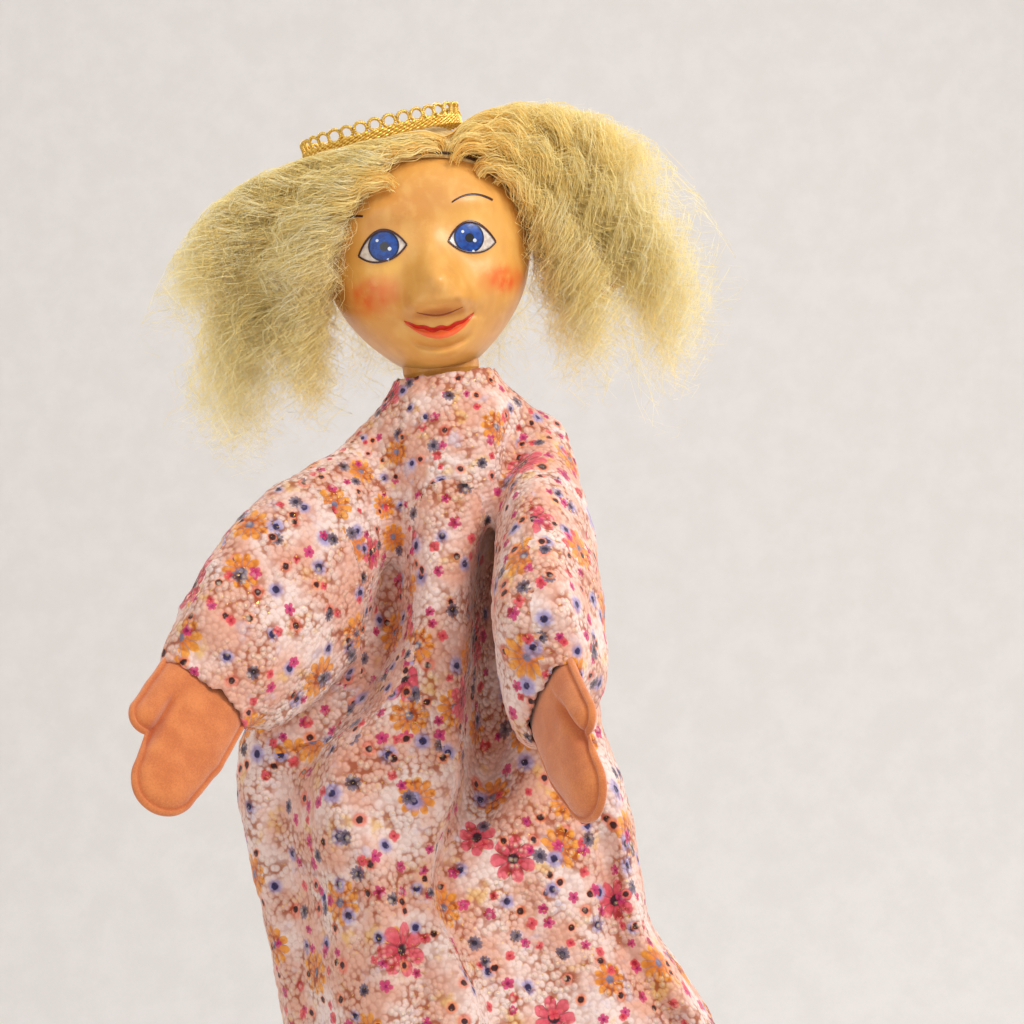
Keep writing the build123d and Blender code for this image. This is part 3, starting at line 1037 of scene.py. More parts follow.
    def _mouth(self) -> list[bpy.types.Object]:
        """Orange lower lip under a darker red upper line, both along a parabola.

        Returns:
            The two pieces.
        """
        pal = self.palette
        x = np.linspace(-11.7, 11.7, 61)
        line = 30.9 + 0.030 * x * x
        share = np.clip(1 - (x / 11.7) ** 2, 0, 1)
        lower = line - 3.0 * share**0.8
        v = np.linspace(0, 1, 9)[None]
        z = lower[:, None] + (line - lower)[:, None] * v
        lips = [self._patch(
            "lower_lip", np.broadcast_to(x[:, None], z.shape), z, 0.10, pal.lip, MeshMaker.grid(61, 9, False)
        )]
        bow = 0.35 * np.cos(x * 1.15) * share
        lips.append(self._stroke("upper_lip", x, line + 0.25 + bow, 0.35 + 1.15 * share, 0.16, pal.lip_dark))
        return lips

    def make(self) -> list[bpy.types.Object]:
        """Builds the head with its painted face.

        Returns:
            The pieces, all riding on the head.
        """
        shell = self._shell()
        pieces = [shell]
        pieces += self._eye(Side.RIGHT, -16.0, 59.2, -15.5, 60.5)
        pieces += self._eye(Side.LEFT, 13.9, 58.6, 12.9, 60.0)
        pieces += self._mouth()
        x = np.linspace(8.6, 22.6, 31)
        pieces.append(self._stroke(
            "left_brow", x, 74.2 - 0.046 * (x - 15.4) ** 2, 0.5 + 0.35 * (x - 8) / 14, 0.12,
            self.palette.liner
        ))
        x = np.linspace(-32.0, -21.0, 31)
        pieces.append(self._stroke(
            "right_brow", x, 72.0 - 0.046 * (x + 25.0) ** 2, 0.7 + 0 * x, 0.12, self.palette.liner
        ))
        # dark stroke under the nose: painted shade
        x = np.linspace(-7.6, 7.8, 41)
        under = 35.9 - 0.5 * np.cos(x * 0.32) + 0.012 * x * x
        pieces.append(self._stroke(
            "nose_line", x, under, 0.12 + 0.42 * (1 - (x / 8.4) ** 2), 0.05, self.palette.crease
        ))
        for piece in pieces:
            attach(piece, "head")
        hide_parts("head")
        return pieces


# ---------------------------------------------------------------- hair
@dataclass(frozen=True)
class Lock:
    """A region of hair: where its roots and its ends lie, as low and high corners in mm."""

    name: str
    locks: int
    strands: int
    root_low: tuple[float, float]
    root_high: tuple[float, float]
    ends: tuple[tuple[float, float, float], ...]
    spread: float
    rise: float
    droop: float


@dataclass
class Hair:
    """Curled wool in locks that leave the parting, with a soft filling behind them."""

    palette: Palette
    head: Head
    seed: int = 7
    points: int = 36
    width: float = 0.30

    def _scalp(self, x: Array, a: Array) -> Array:
        """Points on the scalp: x across, and a the angle from the hairline over the crown to the nape."""
        share = np.sqrt(np.clip(1 - (x / 37.0) ** 2, 0.02, 1))
        return np.stack([x, 4 - 38.5 * share * np.cos(a), 62 + 40.0 * share * np.sin(a)], -1)

    def _strands(self, lock: Lock, rng: np.random.Generator) -> tuple[Array, Array]:
        """Centre lines of a region's strands.

        A lock follows a cubic from its root, out and up, then down to its end. Each strand keeps a small place beside
        the lock's line that opens towards the tip, and winds round it in waves.

        Args:
            lock: the region.
            rng: the seeded random draws.
        Returns:
            Points (strand, step, xyz) and a tone per strand.
        """
        n, m = lock.locks, lock.strands
        rx = rng.uniform(lock.root_low[0], lock.root_high[0], n)
        ra = rng.uniform(lock.root_low[1], lock.root_high[1], n)
        root = self._scalp(rx, ra)
        ends = np.array(lock.ends)
        pick = rng.dirichlet(np.ones(len(ends)) * 0.6, n)
        end = pick @ ends + rng.normal(0, 3.0, (n, 3))
        out = unit(root - np.array([0, 4, 60.0]))
        reach = np.linalg.norm(end - root, axis=1, keepdims=True)
        p1 = root + out * reach * 0.14 + np.array([0, 0, 1.0]) * reach * lock.rise
        side = (end - root) * np.array([1, 1, 0.0])
        p2 = (
            root + side * 0.78 + np.array([0, 0, 1.0]) * ((end - root)[:, 2:3] * 0.30)
            + np.array([0, 0, lock.droop])
        )
        t = np.linspace(0, 1, self.points)[None, :, None]
        line = (
            (1 - t) ** 3 * root[:, None] + 3 * (1 - t) ** 2 * t * p1[:, None] + 3 * (1 - t) * t * t
            * p2[:, None] + t**3 * end[:, None]
        )
        sub = np.repeat(np.arange(n), m)
        k = len(sub)
        line = line[sub]
        place = rng.normal(0, 1, (k, 1, 3)) * lock.spread
        line = line + place * (0.35 + 0.9 * t**1.3)
        length = rng.uniform(0.55, 1.10, (k, 1, 1)) ** 1.0
        grow = np.clip(t * length, 0, 1.1)
        idx = np.clip(grow[..., 0] * (self.points - 1), 0, self.points - 1.001)
        lo = np.floor(idx).astype(int)
        fr = (idx - lo)[..., None]
        row = np.arange(k)[:, None]
        line = line[row, lo] * (1 - fr) + line[row, np.minimum(lo + 1, self.points - 1)] * fr
        step = np.linalg.norm(np.diff(line, axis=1), axis=2)
        arc = np.concatenate([np.zeros((k, 1)), np.cumsum(step, 1)], 1)
        ahead = unit(np.gradient(line, axis=1))
        ref = unit(rng.normal(0, 1, (n, 1, 3)))[sub]
        a = unit(np.cross(ahead, ref))
        b = np.cross(ahead, a)
        wave = rng.uniform(10, 17, (n, 1))[sub]
        start = rng.uniform(0, 2 * np.pi, (n, 1))[sub] + rng.normal(0, 0.55, (k, 1))
        amp = (rng.uniform(1.5, 3.9, (n, 1))[sub] * rng.uniform(0.6, 1.3, (k, 1))) * smooth_step(arc / 34.0)
        ph = 2 * np.pi * arc / wave + start
        amp = amp * (0.75 + 0.75 * arc / arc[:, -1:])
        line = line + a * (amp * np.cos(ph))[..., None] + b * (amp * np.sin(ph))[..., None]
        crimp = rng.uniform(6.5, 9.0, (k, 1))
        ph2 = 2 * np.pi * arc / crimp + rng.uniform(0, 6.28, (k, 1))
        line = line + b * (0.38 * np.cos(ph2) * smooth_step(arc / 12))[..., None]
        tone = np.clip(rng.normal(0.55, 0.16, (n,))[sub] + rng.normal(0, 0.13, k), 0, 1)
        return self._outside(line), tone

    def _outside(self, p: Array) -> Array:
        """Pushes points out of the head, and bends them under the outline of the hair.

        Args:
            p: points in mm.
        Returns:
            The moved points.
        """
        centre = np.array([0, 4, 60.0])
        radii = np.array([37.2, 39.6, 42.0])
        q = (p - centre) / radii
        r = np.linalg.norm(q, axis=-1, keepdims=True)
        p = np.where(r < 1, centre + q / np.maximum(r, 1e-3) * radii, p)
        top = curve(
            p[..., 0], [-104, -92, -78, -60, -38, -10, 4, 10, 18, 38, 60, 82, 96, 106],
            [36, 57, 76, 88, 93.5, 97, 98, 96, 101, 105, 100, 84, 63, 42]
        )
        p[..., 2] = top - 1.5 * np.logaddexp(0, (top - p[..., 2]) / 1.5)
        return p

    def _ribbons(self, name: str, line: Array, tone: Array, rng: np.random.Generator) -> bpy.types.Object:
        """Strands as flat fibres that taper to their tips.

        Args:
            name: the piece's name.
            line: points (strand, step, xyz) in mm.
            tone: a tone per strand.
            rng: the seeded random draws.
        Returns:
            The piece.
        """
        k, steps, _ = line.shape
        ahead = unit(np.gradient(line, axis=1))
        a = unit(np.cross(ahead, unit(rng.normal(0, 1, (k, 1, 3)))))
        b = np.cross(ahead, a)
        t = np.linspace(0, 1, steps)[None, :, None]
        r = self.width / 2 * rng.uniform(0.6, 1.25, (k, 1, 1)) * (1.0 - 0.75 * t**2)
        ring = np.stack([line + a * r, line - a * r], 2)
        points = ring.reshape(-1, 3)
        base = MeshMaker.grid(steps, 2, False)
        faces = (base[None] + (np.arange(k) * steps * 2)[:, None, None]).reshape(-1, 4)
        # tone per vertex: the strand's random tone, darker towards the root as painted shade inside the hair and paler
        # towards the tip
        shade = np.clip(tone[:, None] * 0.9 + 0.42 * (t[..., 0] - 0.45), 0, 1)
        return MeshMaker.build(
            name, points, faces, self.palette.wool, attributes={"tone": np.repeat(shade.ravel(), 2)}
        )

    def _filling(self, name: str, centre: tuple, radii: tuple, seed: float) -> bpy.types.Object:
        """Soft closed lump behind the strands: an ellipsoid times 1 plus noise.

        Args:
            name: the piece's name.
            centre, radii: of the ellipsoid, in mm.
            seed: shifts the noise.
        Returns:
            The piece.
        """
        rows, cols = 60, 80
        t = np.linspace(0.001, np.pi - 0.001, rows)[:, None]
        a = np.linspace(0, 2 * np.pi, cols, endpoint=False)[None]
        d = np.stack(
            [np.sin(t) * np.cos(a), np.sin(t) * np.sin(a), np.broadcast_to(np.cos(t), (rows, cols))], -1
        ).reshape(-1, 3)
        p = np.array(centre) + d * np.array(radii)
        n = 0.6 * noise3(p, 10.0, seed) + 0.8 * noise3(p, 3.0, seed + 3)
        p = np.array(centre) + d * np.array(radii) * (1 + 0.13 * n[:, None])
        # the filling wears the darker wool: painted shade inside the hair
        return MeshMaker.build(
            name, p, MeshMaker.grid(rows, cols, True)[:, ::-1], self.palette.wool_base, attributes={"tone": np.clip(0.5 + 0.5 * n, 0, 1)}
        )

    def make(self) -> list[bpy.types.Object]:
        """Builds the hair.

        Returns:
            The pieces, all riding on the head.
        """
        rng = np.random.default_rng(self.seed)
        regions = (
            Lock(
                "right_top", 62, 45, (-30, 0.8), (8, 2.3),
                (
                    (-92, -8, 30), (-90, 14, 50), (-80, -18, 68), (-66, 14, 82), (-86, -20, 44),
                    (-66, -26, 58), (-76, -10, 38)
                ),
                2.8, 0.05, 5.0
            ),
            Lock(
                "right_low", 62, 45, (-36, 0.45), (-8, 2.3),
                (
                    (-94, -4, 24), (-88, -20, 8), (-66, -6, -14), (-50, -2, -12), (-40, -14, 0), (-76, 20, 2),
                    (-60, -24, 10), (-90, 6, 12), (-92, -14, 38)
                ),
                2.6, 0.04, 6.0
            ),
            Lock(
                "right_inner", 62, 45, (-36, 0.5), (-14, 2.2),
                (
                    (-44, -18, 26), (-56, -26, 40), (-40, -12, 6), (-66, -26, 34), (-34, -4, 12),
                    (-58, -24, 16), (-50, -22, 50), (-48, -16, -2), (-36, -8, 6), (-30, 2, 14),
                    (-44, -10, -4), (-52, -18, 8)
                ),
                2.2, 0.04, 6.0
            ),
            Lock(
                "fringe", 56, 44, (-4, 0.76), (9, 1.2),
                (
                    (-33, -28, 56), (-38, -27, 48), (-42, -26, 38), (-50, -27, 58), (-46, -26, 68),
                    (-60, -27, 48)
                ),
                1.7, 0.03, 9.0
            ),
            Lock(
                "left_top", 62, 45, (7, 0.8), (30, 2.4),
                (
                    (44, -12, 102), (66, -14, 95), (86, -4, 78), (60, 22, 94), (82, -18, 72), (58, -20, 82),
                    (96, -10, 60), (68, -26, 56)
                ),
                2.9, 0.10, 5.0
            ),
            Lock(
                "left_low", 62, 45, (10, 0.5), (36, 2.3),
                (
                    (102, -4, 54), (95, -6, 32), (82, -18, 12), (60, 2, -8), (88, 20, 18), (64, 0, -22),
                    (92, -18, 44), (74, -8, -2)
                ),
                2.8, 0.07, 7.0
            ),
            Lock(
                "left_inner", 62, 45, (18, 0.55), (36, 2.2),
                (
                    (44, -18, 50), (52, -22, 30), (40, -4, 14), (62, -24, 64), (50, -10, 2), (66, -24, 44),
                    (70, -22, 26), (58, -16, -6), (34, -4, 12), (28, 6, 14), (46, -8, 0), (54, -12, -12)
                ),
                2.3, 0.05, 6.0
            ),
            Lock(
                "back", 62, 44, (-32, 1.2), (32, 2.9),
                (
                    (-60, 38, 24), (-20, 46, 12), (24, 46, 14), (64, 38, 26), (0, 50, 40), (-44, 44, 54),
                    (48, 44, 56), (0, 46, 64)
                ),
                3.2, 0.05, 5.0
            ),
            Lock(
                "nape", 62, 44, (-34, 1.0), (34, 2.2),
                (
                    (-50, 40, 34), (-16, 50, 30), (20, 50, 32), (54, 40, 36), (0, 40, 10), (-34, 34, 4),
                    (40, 34, 6), (-70, 26, 44), (76, 26, 48)
                ),
                3.4, 0.05, 6.0
            ),
        )
        pieces = [
            self._filling("right_wool_core", (-50, 8, 56), (18, 11, 24), 1.0),
            self._filling("left_wool_core", (56, 8, 62), (18, 11, 24), 2.0),
            self._filling("back_wool_core", (0, 20, 66), (26, 20, 24), 3.0),
        ]
        total = 0
        for lock in regions:
            line, tone = self._strands(lock, rng)
            total += len(line)
            pieces.append(self._ribbons(f"wool_{lock.name}", line, tone, rng))
        LOG.info("hair: %d strands", total)
        for piece in pieces:
            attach(piece, "head")
        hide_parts("wool_right", "wool_fringe")
        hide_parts("wool_left")
        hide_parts("wool_back")
        return pieces


# ---------------------------------------------------------------- crown
@dataclass
class Crown:
    """Ring of gold braid with a row of standing loops."""

    palette: Palette
    centre: tuple[float, float, float] = (-10.0, 0.0, 97.2)
    tilt: float = 8.0
    radii: tuple[float, float] = (27.0, 20.5)
    loops: int = 34

    def _place(self, p: Array) -> Array:
        """Turns points from the crown's own frame into the row's."""
        a = math.radians(-self.tilt)
        m = np.array([[math.cos(a), 0, math.sin(a)], [0, 1, 0], [-math.sin(a), 0, math.cos(a)]])
        return p @ m.T + np.array(self.centre)

    def make(self) -> list[bpy.types.Object]:
        """Builds the crown.

        Returns:
            The band and the loops, riding on the head.
        """
        rx, ry = self.radii
        parts = []
        n = 420
        a = np.linspace(0, 2 * np.pi, n, endpoint=False)
        for k in range(5):
            wave = np.sin(a * 60 + k * np.pi * 0.66)
            r = 0.35 * np.cos(a * 60 + k * np.pi * 0.66)
            path = np.stack([(rx + r) * np.cos(a), (ry + r) * np.sin(a), 0.5 + k * 0.62 + 0.22 * wave], -1)
            parts.append(MeshMaker.tube(self._place(path), 0.5, 6, True))
        band = MeshMaker.build("crown_band_threads", *MeshMaker.join(parts), self.palette.gold)
        rng = np.random.default_rng(3)
        parts = []
        for i in range(self.loops):
            mid = 2 * np.pi * i / self.loops
            spot = np.array([rx * math.cos(mid), ry * math.sin(mid), 5.1])
            along = unit(np.array([-rx * math.sin(mid), ry * math.cos(mid), 0.0]))
            lean = unit(np.array([math.cos(mid), math.sin(mid), 0.0])) * rng.uniform(-0.25, 0.35)
            t = np.linspace(-0.35, 2 * np.pi + 0.35, 44)
            size = rng.uniform(1.9, 2.3)
            ring = (
                spot + size
                * (np.sin(t)[:, None] * along * 1.05 - np.cos(t)[:, None] * (np.array([0, 0, 1.0]) + lean))
            )
            for twist in (0, np.pi):
                w = t * 9 + twist
                offset = (
                    0.27
                    * (np.cos(w)[:, None] * (np.cross(along, [0, 0, 1.0])) + np.sin(w)[:, None] * (-np.cos(t)[:, None] * np.array([0, 0, 1.0]) + np.sin(t)[:, None] * along))
                )
                parts.append(MeshMaker.tube(self._place(ring + offset), 0.44, 5))
        loops = MeshMaker.build("crown_wire_loops", *MeshMaker.join(parts), self.palette.gold)
        for piece in (band, loops):
            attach(piece, "head")
        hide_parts("crown_braid")
        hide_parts("crown_loops")
        return [band, loops]


# ---------------------------------------------------------------- dress
@dataclass(frozen=True)
class ArmPlan:
    """Where an arm lies: the same points as the CAD, in mm."""

    side: Side
    shoulder: tuple[float, float, float]
    start: tuple[float, float, float]
    wrist: tuple[float, float, float]
    hand: tuple[float, float, float]
    thumb: tuple[float, float, float]

    @property
    def along(self) -> Array:
        """Direction from the armhole to the wrist."""
        return unit(np.array(self.wrist) - np.array(self.start))

    @property
    def tall(self) -> Array:
        """The sleeve's upward direction."""
        up = np.array([0, 0, 1.0])
        return unit(up - self.along * (up @ self.along))


ARMS = (
    ArmPlan(
        Side.RIGHT, (-35, -7, -34), (-42.5, -13.5, -36), (-88.6, -51.5, -76.0), (-0.50, -0.66, -0.56),
        (-0.62, -0.10, 0.66)
    ),
    ArmPlan(
        Side.LEFT, (30, -7, -40), (28, -16.5, -42), (18.0, -68.0, -92.0), (0.14, -0.80, -0.58),
        (0.30, -0.30, 0.80)
    ),
)


@dataclass
class Dress:
    """One garment: torso and sleeves are lofted, fused, smoothed, flattened for the print and cut at the armholes."""

    palette: Palette
    neck_top: float = 17.0
    hem: float = -247.0
    voxel: float = 2.6
    thickness: float = 1.2
    left_edge: list[tuple[float, float]] = field(
        default_factory=lambda: [
            (24, -15), (18, -15.6), (12, -19), (5, -27), (0, -34), (-6, -40), (-20, -44), (-50, -50),
            (-75, -62), (-95, -82), (-110, -86), (-135, -85), (-160, -82.5), (-195, -80), (-255, -77)
        ]
    )
    right_edge: list[tuple[float, float]] = field(
        default_factory=lambda: [
            (24, 16), (18, 17), (12, 20), (5, 27), (0, 32), (-8, 36), (-38, 40), (-82, 40), (-111, 41),
            (-134, 46), (-160, 47), (-179, 49), (-198, 59), (-214, 66), (-255, 76)
        ]
    )
    depth_front: list[tuple[float, float]] = field(
        default_factory=lambda: [
            (24, 15.5), (18, 16), (12, 17.5), (0, 20), (-40, 22), (-80, 24), (-120, 30), (-180, 37),
            (-255, 44)
        ]
    )
    depth_back: list[tuple[float, float]] = field(
        default_factory=lambda: [
            (24, 15.5), (18, 16), (12, 18), (0, 23), (-40, 28), (-80, 33), (-120, 38), (-180, 44), (-255, 50)
        ]
    )
    panel_right: list[tuple[float, float]] = field(
        default_factory=lambda: [
            (24, 15), (10, 16.8), (-3, 17.5), (-34, 7.4), (-52, 1.2), (-71, -2.1), (-90, -6.5), (-110, -10.3),
            (-126, -14.9), (-136, -20.5), (-150, -25.5), (-164, -22.9), (-178, -17.9), (-194, -14.3),
            (-207, -12.6), (-255, -8)
        ]
    )
    panel_left: list[tuple[float, float]] = field(
        default_factory=lambda: [
            (24, -16), (14, -16), (-4, -15.5), (-38, -19.1), (-63, -24), (-86, -38.8), (-104, -57),
            (-120, -64), (-150, -63), (-190, -65.7), (-255, -62)
        ]
    )
    roll: list[tuple[float, float]] = field(
        default_factory=lambda: [
            (24, 34), (-120, 37), (-147, 41), (-177, 42.5), (-198, 52), (-207, 57), (-255, 72)
        ]
    )

    def _folds(self, x: Array, z: Array) -> Array:
        """How far the front cloth stands forward: the middle panel, the valleys beside it, the side seam's roll.

        Args:
            x, z: positions in mm.
        Returns:
            The height of the folds in mm.
        """
        xl, xr = falling(z, self.panel_left), falling(z, self.panel_right)
        high = falling(
            z, [(24, 0), (10, 2.0), (0, 5), (-30, 10), (-60, 13), (-120, 16), (-170, 14), (-255, 10)]
        )
        panel = 1.15 * high * smooth_step((x - xl + 5) / 13) * smooth_step((xr - x + 2.0) / 4.5)
        valley = (
            -22 * np.exp(-(((x - xr - 10.5) / 8.0) ** 2)) * smooth_step((8 - z) / 34)
            * smooth_step((z + 150) / 40)
        )
        tuck = falling(
            z,
            [(24, -24), (0, -26), (-30, -28), (-56, -27), (-72, -30.5), (-90, -43), (-104, -60), (-255, -80)]
        )
        left_valley = (
            -10.5 * np.exp(-(((x - tuck) / 4.8) ** 2)) * smooth_step((4 - z) / 20)
            * smooth_step((z + 112) / 24)
        )
        xo = falling(z, self.roll)
        roll = 9.0 * np.exp(-(((x - xo) / 5.0) ** 2)) * smooth_step((-112 - z) / 16)
        crease = -7.0 * np.exp(-(((x - xo + 7.5) / 2.6) ** 2)) * smooth_step((-126 - z) / 16)
        middle = 2.0 * np.exp(-(((x - (xl * 0.45 + xr * 0.55)) / 7.0) ** 2)) * smooth_step((-20 - z) / 40)
        soft = (
            4.2 * np.exp(-(((x - (xl + 15 + 6 * np.sin(z / 34.0))) / 6.0) ** 2))
            * smooth_step((-110 - z) / 30)
        )
        dent = (
            -5.0 * np.exp(-(((x - (xl + 27 + 5 * np.sin(z / 30.0 + 1))) / 4.2) ** 2))
            * smooth_step((-95 - z) / 30)
        )
        low = -5.0 * np.exp(-(((x - (xr * 0.6 + xo * 0.4)) / 9.0) ** 2)) * smooth_step((-140 - z) / 30)
        side = -6.5 * np.exp(-(((x - (xl - 9)) / 4.5) ** 2)) * smooth_step((-100 - z) / 15)
        return panel + valley + left_valley + roll + crease + middle + soft + dent + low + side

    def _torso(self) -> tuple[Array, Array]:
        """Closed lofted torso: half superellipses between the two side outlines, pleated at the neck and behind.

        Returns:
            Vertices in mm and quads.
        """
        rows, cols = 190, 300
        z = np.linspace(22, self.hem - 8, rows)[:, None]
        a = np.linspace(0, 2 * np.pi, cols, endpoint=False)[None]
        lo, hi = falling(z, self.left_edge), falling(z, self.right_edge)
        cx, rx = (lo + hi) / 2, (hi - lo) / 2
        c, s = np.cos(a), np.sin(a)
        p = 2 / 2.3
        x = cx + rx * np.sign(c) * np.abs(c) ** p
        depth = np.where(s < 0, falling(z, self.depth_front), falling(z, self.depth_back))
        cy = falling(z, [(24, 0.5), (0, 2), (-50, 4), (-255, 4)])
        y = cy + depth * np.sign(s) * np.abs(s) ** p
        front = smooth_step(np.where(s < 0, np.abs(s) ** p * 1.7, 0))
        y = y - self._folds(x, np.broadcast_to(z, x.shape)) * front
        back = smooth_step(np.where(s > 0, s * 1.5, 0)) * smooth_step((10 - z) / 60)
        y = y + back * 3.2 * np.cos(x / 7.2 + z / 90 + 0.8) * (0.7 + 0.3 * np.sin(z / 47))
        gather = 1.7 * np.cos(a * 19 + 0.6 * np.sin(a * 5)) * np.exp(-(((z - 12) / 11) ** 2))
        flare = 1.6 * np.sin(a * 9 + 1.3 * np.sin(a * 2)) * smooth_step((-150 - z) / 90)
        x, y = x + c * (gather + flare), y + s * (gather + flare)
        points = np.stack([x, y, np.broadcast_to(z, x.shape)], -1).reshape(-1, 3)
        faces = MeshMaker.grid(rows, cols, True)
        return self._cap(points, faces, rows, cols)

    @staticmethod
    def _cap(points: Array, faces: Array, rows: int, cols: int) -> tuple[Array, Array]:
        """Closes both ends of a loft with a fan, written as quads that share their middle point.

        Args:
            points, faces: the open loft.
            rows, cols: its size.
        Returns:
            The closed loft.
        """
        top, bottom = points[:cols].mean(0), points[-cols:].mean(0)
        n = len(points)
        k = np.arange(0, cols, 2)
        first = np.stack([(k + 2) % cols, (k + 1) % cols, k, np.full_like(k, n)], -1)
        last = (rows - 1) * cols
        second = np.stack(
            [last + k, last + (k + 1) % cols, last + (k + 2) % cols, np.full_like(k, n + 1)], -1
        )
        return np.concatenate([points, [top, bottom]]), np.concatenate([faces, first, second])

    def _sleeve(self, arm: ArmPlan) -> tuple[Array, Array]:
        """Closed lofted sleeve from inside the torso to the hand it hugs, with soft creases.

        Args:
            arm: where it lies.
        Returns:
            Vertices in mm and quads.
        """
        rows, cols = 90, 96
        start, wrist = np.array(arm.start), np.array(arm.wrist)
        length = np.linalg.norm(wrist - start)
        s = np.linspace(-0.42, 1.10, rows)
        right = arm.side is Side.RIGHT
        steps = [-0.42, -0.2, 0.0, 0.3, 0.6, 0.84, 0.93, 1.0, 1.06, 1.1]
        tall = curve(
            s, steps,
            [15, 24, 30, 32.5, 31, 26.5, 23.5, 20.0, 18.4, 18.2] if right else [
                14, 24, 30, 33.5, 35.5, 33.5, 29.0, 22.5, 18.6, 18.2
            ]
        )
        wide = curve(
            s, steps,
            [
                10, 14, 17, 18.5, 18.0, 15.8, 13.8, 11.2, 7.6, 7.2
            ] if right else [9, 12, 15, 17.5, 17.8, 17.0, 15.0, 11.6, 7.8, 7.2]
        )
        flat = unit(arm.along * np.array([1, 1, 0.0]))
        lean = smooth_step(s / 0.35)[:, None]
        turn = smooth_step((s - 0.90) / 0.11)[:, None]
        hand, thumb = unit(np.array(arm.hand)), unit(np.array(arm.thumb))
        axis = unit(flat * (1 - lean) + arm.along * lean)
        axis = unit(axis * (1 - turn) + hand * turn)
        up = np.array([0, 0, 1.0]) * (1 - turn) + thumb * turn
        tall_dir = unit(up - axis * np.sum(axis * up, 1)[:, None])
        wide_dir = np.cross(axis, tall_dir)
        drop = (smooth_step(-s / 0.42) * (7.0 if right else 9.0))[:, None]
        inner = np.minimum(s, 1.0)
        centre = start + arm.along * (inner * length)[:, None] + hand * ((s - inner) * length)[:, None]
        centre = centre + np.array([0, 0, 1.0]) * drop + tall_dir * turn * 0.9
        a = np.linspace(0, 2 * np.pi, cols, endpoint=False)[None]
        crease = (
            1.5 * np.cos(a * 5 + 1.0 + s[:, None] * 2.0) * smooth_step((s[:, None] - 0.35) / 0.5)
            * (1 - 0.6 * smooth_step((s[:, None] - 0.9) / 0.1))
        )
        sag = (
            1.6 * np.sin(s[:, None] * 15 + 2.2 * np.cos(a)) * smooth_step(0.85 - s[:, None])
            * (a > np.pi * 0.5)
        )
        bulge = crease + sag * 0.5
        ring = (
            tall_dir[:, None] * (np.cos(a) * (tall[:, None] + bulge))[..., None] + wide_dir[:, None]
            * (np.sin(a) * (wide[:, None] + bulge * 0.6))[..., None]
        )
        points = (centre[:, None] + ring).reshape(-1, 3)
        return self._cap(points, MeshMaker.grid(rows, cols, True)[:, ::-1], rows, cols)

    def _fuse(self, parts: list[tuple[Array, Array]]) -> tuple[Array, Array]:
        """Voxel remesh of the overlapping closed parts into one outer skin.

        Args:
            parts: closed lofts.
        Returns:
            Vertices in mm and quads.
        """
        body = MeshMaker.build("garment_parts", *MeshMaker.join(parts))
        remesh = body.modifiers.new("fuse", "REMESH")
        remesh.mode, remesh.voxel_size = "VOXEL", self.voxel * MM
        graph = bpy.context.evaluated_depsgraph_get()
        mesh = bpy.data.meshes.new_from_object(body.evaluated_get(graph))
        points = np.empty(len(mesh.vertices) * 3, np.float32)
        mesh.vertices.foreach_get("co", points)
        faces = np.empty(len(mesh.loops), np.int32)
        mesh.loops.foreach_get("vertex_index", faces)
        bpy.data.objects.remove(body)
        return points.reshape(-1, 3).astype(float) / MM, faces.reshape(-1, 4)

    @staticmethod
    def _relax(points: Array, faces: Array, rounds: int, share: float) -> Array:
        """Moves each vertex towards the mean of its neighbours, a number of times.

        Args:
            points, faces: the mesh.
            rounds: how many times.
            share: how far each time.
        Returns:
            The moved vertices.
        """
        edges = np.unique(
            np.sort(
                np.concatenate([faces[:, [0, 1]], faces[:, [1, 2]], faces[:, [2, 3]], faces[:, [3, 0]]]), 1
            ),
            axis=0
        )
        count = np.bincount(edges.ravel(), minlength=len(points))[:, None]
        for _ in range(rounds):
            total = np.zeros_like(points)
            for k in range(3):
                total[:, k] = np.bincount(
                    edges[:, 0], points[edges[:, 1], k], len(points)
                ) + np.bincount(edges[:, 1], points[edges[:, 0], k], len(points))
            points = points + (total / np.maximum(count, 1) - points) * share
        return points

    def _arm_share(self, arm: ArmPlan, p: Array) -> Array:
        """Signed distance past the armhole's cutting plane.

        Args:
            arm: the arm.
            p: points in mm.
        Returns:
            The distance in mm towards the hand, and far below 0 off the arm.
        """
        start = np.array(arm.start)
        flat = unit(arm.along * np.array([1, 1, 0.0]))
        axis = unit(flat * 0.55 + arm.along * 0.45)
        past = (p - start - axis * 9.0) @ axis
        rel = p - start
        off = rel - (rel @ arm.along)[:, None] * arm.along
        return np.where((np.linalg.norm(off, axis=1) < 46) & (p[:, 2] > -150), past, -99.0)

    def _trim(self, points: Array, faces: Array) -> Array:
        """Opens the neck, the hem and the cuffs.

        Args:
            points, faces: the closed garment.
        Returns:
            The faces left.
        """
        mid = points[faces].mean(1)
        keep = (mid[:, 2] < self.neck_top) & (mid[:, 2] > self.hem)
        for arm in ARMS:
            past = (mid - np.array(arm.wrist)) @ unit(np.array(arm.hand))
            near = np.linalg.norm(mid - np.array(arm.wrist), axis=1) < 45
            keep &= ~((past > 5.2) & near)
        return faces[keep]

